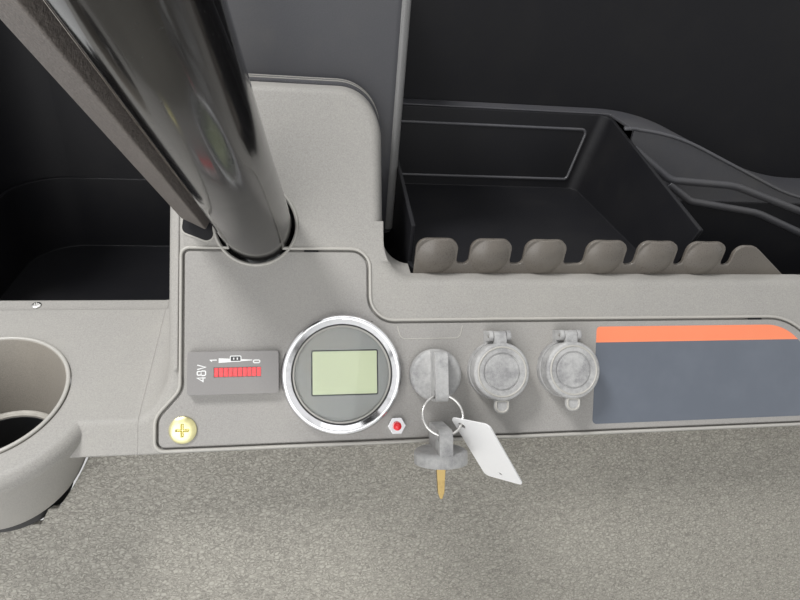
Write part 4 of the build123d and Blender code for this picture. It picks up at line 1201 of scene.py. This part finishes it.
@dataclass
class TrayTrim:
    """Frame on the tray's back wall, bead along the ledge's front and the two steps below it."""

    left: float = -163.0
    right_floor: float = 58.0
    back_floor: Pair = (-38.0, 38.0)
    back_rim: Pair = (-26.0, 117.0)
    ledge_y: float = -78.0
    ledge: tuple[Triple, ...] = (
        (88.0, 118.0, 0), (120.0, 118.0, 256.5), (310.0, 46.0, 256.5), (517.0, 46.0, 0),
    )
    step_1: tuple[Triple, ...] = ((90.0, 98.0, 0), (142.0, 66.0, 28), (220.0, 62.0, 90), (330.0, 30.0, 0))
    step_2: tuple[Triple, ...] = ((142.0, 62.0, 0), (174.0, 43.0, 24), (262.0, 31.0, 90), (350.0, 0.0, 0))
    step_size: Pair = (8.0, 2.8)
    ledge_size: Pair = (4.0, 1.6)
    frame_size: Pair = (3.2, 1.3)
    frame_corner: float = 5.0
    frame_edges: tuple[float, float, float, float, float] = (10.0, 10.0, 12.0, -2.0, 16.0)

    def build(self, materials: Materials) -> None:
        """Make and dress the trim."""
        (y0, z0), (y1, z1) = self.back_floor, self.back_rim
        high = float(np.hypot(y1 - y0, z1 - z0))
        wall = Axes((self.left, y0, z0), (1.0, 0.0, 0.0), (0.0, -(z1 - z0) / high, (y1 - y0) / high))
        width = self.right_floor - self.left
        left, foot, right_foot, right_top, top = self.frame_edges  # margins to the wall's own edges
        r = self.frame_corner
        flat = rounded([(left, foot, r), (width - right_foot, foot, r), (width - right_top, high - top, r),
                        (left, high - top, r)])
        panel = bead("tray_frame", wall.path(flat), self.frame_size, wall.normal(), True)
        finish_piece(panel, materials["edge_black"])
        for name, corners, up, size in (
            ("ledge_bead", self.ledge, (0.0, -0.7, 0.7), self.ledge_size),
            ("ledge_step_1", self.step_1, (0.0, -1.0, 0.0), self.step_size),
            ("ledge_step_2", self.step_2, (0.0, -1.0, 0.0), self.step_size),
        ):
            flat = rounded(corners, closed=False, step=3)
            step = bead(name, world(flat[:, 0], self.ledge_y, flat[:, 1]), size, np.array(up), count=13)
            finish_piece(step, materials["riser_grey"])


@dataclass
class PodTrim:
    """Dark band over the pod's top and sides, painted shade of that surface, with its light lines, and a
    light bead on the riser's corner, a painted highlight.
    """

    left: float = -332.5
    right: float = -184.5
    top: float = 165.0
    back: float = -153.0
    front: float = -171.0
    corner: float = 31.0
    foot: float = 60.0
    riser_right: float = -163.0
    riser_z: Pair = (40.0, 239.0)
    riser_inset: Pair = (4.2, 3.8)
    riser_edge_highlight: Pair = (9.0, 4.4)
    rim: Pair = (0.6, 1.8)            # out from the pod, thickness
    band_back: float = 0.4             # how far it reaches past the pod's back
    line: Pair = (1.6, 0.9)           # the same for its two lines
    line_deep: float = 1.3
    line_at: Pair = (7.0, 5.0)        # behind the front, before the back

    def band(self, name: str, grow: float, thick: float, front: float, back: float) -> Piece:
        """Strip round the pod's top and sides: a stroke along its outline in x and z, from front to back."""
        left, right, top, r = self.left - grow, self.right + grow, self.top + grow, self.corner + grow
        corners = [(left, self.foot, 0), (left, top, r), (right, top, r), (right, self.foot, 0)]
        edge = rounded(corners, closed=False, step=6)
        return stroke(name, edge, thick, lambda x, z, y: world(x, y, z), front, back)

    def build(self, materials: Materials) -> None:
        """Make and dress the trim."""
        # dark band over the pod's top and sides: painted shade of the top surface
        rim = self.band("pod_top_shade", *self.rim, self.front, self.back + self.band_back)
        finish_piece(rim, materials["edge_black"])
        places = (self.front + self.line_at[0], self.back - self.line_at[1])
        lines = [self.band("line", *self.line, y, y + self.line_deep) for y in places]
        finish_piece(join_meshes("pod_top_lines", lines), materials["bead_grey"])
        # light bead down the riser's corner: painted highlight of the rounded corner
        x, y = self.riser_right - self.riser_inset[0], self.back + self.riser_inset[1]
        path = world(x, y, np.linspace(*self.riser_z, 30))
        edge = bead("riser_edge_highlight", path, self.riser_edge_highlight, np.array((0.7, -0.7, 0.0)))
        finish_piece(edge, materials["edge_grey"])


@dataclass
class ColumnTrim:
    """Tan ridge on the column cover's side, a painted highlight of its edge at the parting gap, rims of the
    channel, and the dark notch below the channel, a painted shadow.
    """

    radius: float = 23.5
    length: float = 330.0
    channel: Triple = (-46.6, -25.6, 12.0)
    channel_start: float = 10.0
    channel_turn: float = -30.0
    notch: tuple[Triple, ...] = (
        (-109.0, 99.0, 5.0), (-88.0, 91.0, 5.0), (-86.0, 105.0, 4.0), (-107.0, 114.0, 4.0),
    )
    seam_turn: float = 196.0
    seam_z: Pair = (8.0, 328.0)
    seam_size: Pair = (4.0, 1.1)
    seam_sink: float = 0.6
    rim_size: Pair = (2.3, 0.8)
    rim_inset: float = 1.25
    rim_ends: float = 0.5
    notch_top: float = 0.25
    notch_line: Pair = (1.0, 0.6)     # width and top

    def build(self, materials: Materials) -> None:
        """Make and dress the trim."""
        axes = column_axes()
        z = np.linspace(*self.seam_z, 40)
        turn = radians(self.seam_turn)
        out = np.array((np.cos(turn), np.sin(turn)))
        path = axes.points(out[0] * self.radius, out[1] * self.radius, z)
        up = axes.points(out[0], out[1], 0.0) - np.array(axes.origin)
        # tan ridge along the cover's side: painted highlight of the cover's edge beside its parting gap
        ridge = bead("cover_edge_highlight", path, self.seam_size, up, sink=self.seam_sink)
        finish_piece(ridge, materials["seam_tan"])
        x0, x1, y = self.channel
        c, s = np.cos(radians(self.channel_turn)), np.sin(radians(self.channel_turn))
        z = np.linspace(self.channel_start + self.rim_ends, self.length - self.rim_ends, 40)
        up = axes.points(-s, c, 0.0) - np.array(axes.origin)
        rims = [bead("rim", axes.points(x * c - y * s, x * s + y * c, z), self.rim_size, up)
                for x in (x0 + self.rim_inset, x1 - self.rim_inset)]
        finish_piece(join_meshes("channel_rims", rims), materials["bead_grey"])
        # dark plate in the notch: painted shadow inside the cut-out where the channel meets the face
        edge = rounded(self.notch)
        dark = plate("channel_notch", edge, FACE.points, -SINK, self.notch_top)
        finish_piece(dark, materials["liner_black"])
        wide, top = self.notch_line
        around = stroke("channel_notch_line", edge, wide, FACE.points, -SINK, top, True)
        finish_piece(around, materials["bead_grey"])


@dataclass
class Bolts:
    """Hexagon bolts of the column clamp and of the brackets."""

    clamp_z: float = -205.0
    clamp_x: float = 26.6
    clamp_top: float = 4.1
    bracket_x: float = 455.0
    bracket_y: float = -7.0
    bracket_z: Pair = (-78.0, -142.0)
    clamp_head: Pair = (8.0, 5.0)     # across flats, height
    bracket_head: Pair = (13.0, 6.5)

    def build(self, materials: Materials) -> None:
        """Make and dress the bolts."""
        axes = column_axes()
        heads = []
        for side in Side:
            clamp = shifted(axes.points, side.value * self.clamp_x, self.clamp_top, self.clamp_z)
            heads.append(hex_bolt("clamp_bolt", *self.clamp_head, lambda x, y, z: clamp(x, z, y)))
            for row in self.bracket_z:
                flange = shifted(world, side.value * self.bracket_x, self.bracket_y, row)
                heads.append(hex_bolt("bracket_bolt", *self.bracket_head, lambda x, y, z: flange(x, -z, y)))
        finish_piece(join_meshes("mounting_bolts", heads), materials["steel"])


@dataclass
class Studio:
    """Floor, lights, world and camera."""

    position: Triple = (-239.4, -618.2, 266.2)
    forward: Triple = (0.159, 0.828, -0.537)
    right: Triple = (0.987, -0.136, 0.083)
    lens: float = 26.1
    dome: float = 0.2
    reach: float = 2600.0
    middle: Triple = (-60.0, -260.0, 20.0)
    lamps: tuple[tuple[str, Triple, float, float], ...] = (  # name, place, size, power
        ("key", (-1100, -350, 1700), 420, 30), ("fill", (-700, -1500, 420), 1300, 13),
        ("top", (0, 300, 1700), 1400, 5),
    )

    def floor(self) -> None:
        """Plain pale floor under the lowest point, and nothing else."""
        low, _ = LOADED
        axis = np.array((-self.reach, self.reach))
        floor = grid_mesh("floor", world(axis[:, None], axis, low.z / MM - 0.5))
        tree = Tree("floor")
        pale = tree.mix(tree.noise(300, 2.0), (0.78, 0.78, 0.77), (0.82, 0.82, 0.81))
        tree.set(Base_Color=pale, Roughness=0.7)
        floor.data.materials.append(tree.material)

    def lamp(self, name: str, at: Triple, size: float, power: float) -> None:
        """Soft square lamp at a place in millimetres, turned to the middle."""
        data = bpy.data.lights.new(name, "AREA")
        data.size, data.energy = size * MM, power
        lamp = linked(name, data)
        lamp.location = Vector(at) * MM
        lamp.rotation_euler = (Vector(self.middle) - Vector(at)).to_track_quat("-Z", "Y").to_euler()

    def sky(self) -> None:
        """Even grey dome that looks white to the camera and in reflections beyond the object."""
        sky = bpy.data.worlds.new("studio")
        bpy.context.scene.world = sky
        sky.use_nodes = True
        nodes, links = sky.node_tree.nodes, sky.node_tree.links
        nodes.clear()
        output = nodes.new("ShaderNodeOutputWorld")
        ray = nodes.new("ShaderNodeLightPath")
        dim, bright = nodes.new("ShaderNodeBackground"), nodes.new("ShaderNodeBackground")
        dim.inputs[0].default_value, dim.inputs[1].default_value = (0.9, 0.95, 1, 1), self.dome
        bright.inputs[0].default_value, bright.inputs[1].default_value = (1, 1, 1, 1), 1.0
        mix = nodes.new("ShaderNodeMixShader")
        seen, either = nodes.new("ShaderNodeMath"), nodes.new("ShaderNodeMath")
        seen.operation = either.operation = "MAXIMUM"
        for made, socket in (
            (ray.outputs["Is Camera Ray"], seen.inputs[0]), (ray.outputs["Is Glossy Ray"], seen.inputs[1]),
            (seen.outputs[0], either.inputs[0]), (ray.outputs["Is Transmission Ray"], either.inputs[1]),
            (either.outputs[0], mix.inputs[0]), (dim.outputs[0], mix.inputs[1]),
            (bright.outputs[0], mix.inputs[2]), (mix.outputs[0], output.inputs[0]),
        ):
            links.new(made, socket)

    def camera(self) -> None:
        """Camera at the photograph's place and angle."""
        data = bpy.data.cameras.new("camera")
        data.lens, data.sensor_width = self.lens, 36.0
        data.clip_start, data.clip_end = 0.01, 20
        camera = linked("camera", data)
        ahead, right = Vector(self.forward).normalized(), Vector(self.right)
        right = (right - ahead * right.dot(ahead)).normalized()
        up = right.cross(ahead)
        turn = Matrix((right, up, -ahead)).transposed().to_4x4()
        camera.matrix_world = Matrix.Translation(Vector(self.position) * MM) @ turn
        bpy.context.scene.camera = camera

    def build(self) -> None:
        """Make the stage, the lights and the camera."""
        self.floor()
        self.sky()
        for lamp in self.lamps:
            self.lamp(*lamp)
        self.camera()


def main() -> None:
    """Build the visual model in order."""
    logging.basicConfig(level=logging.INFO, format="%(name)s: %(message)s")
    bpy.context.scene.view_settings.view_transform = "Standard"
    materials = {finish.name: finish.material() for finish in FINISHES}
    CadNodes().dress(materials)
    for kind in (PanelTrim, Decal, MeterPrint, GaugeTrim, Screws, CapTrim, CupTrim, TrayTrim, PodTrim,
                 ColumnTrim, Bolts):
        log.info("building %s", kind.__name__)
        kind().build(materials)
    Studio().build()


if __name__ == "__main__":
    main()
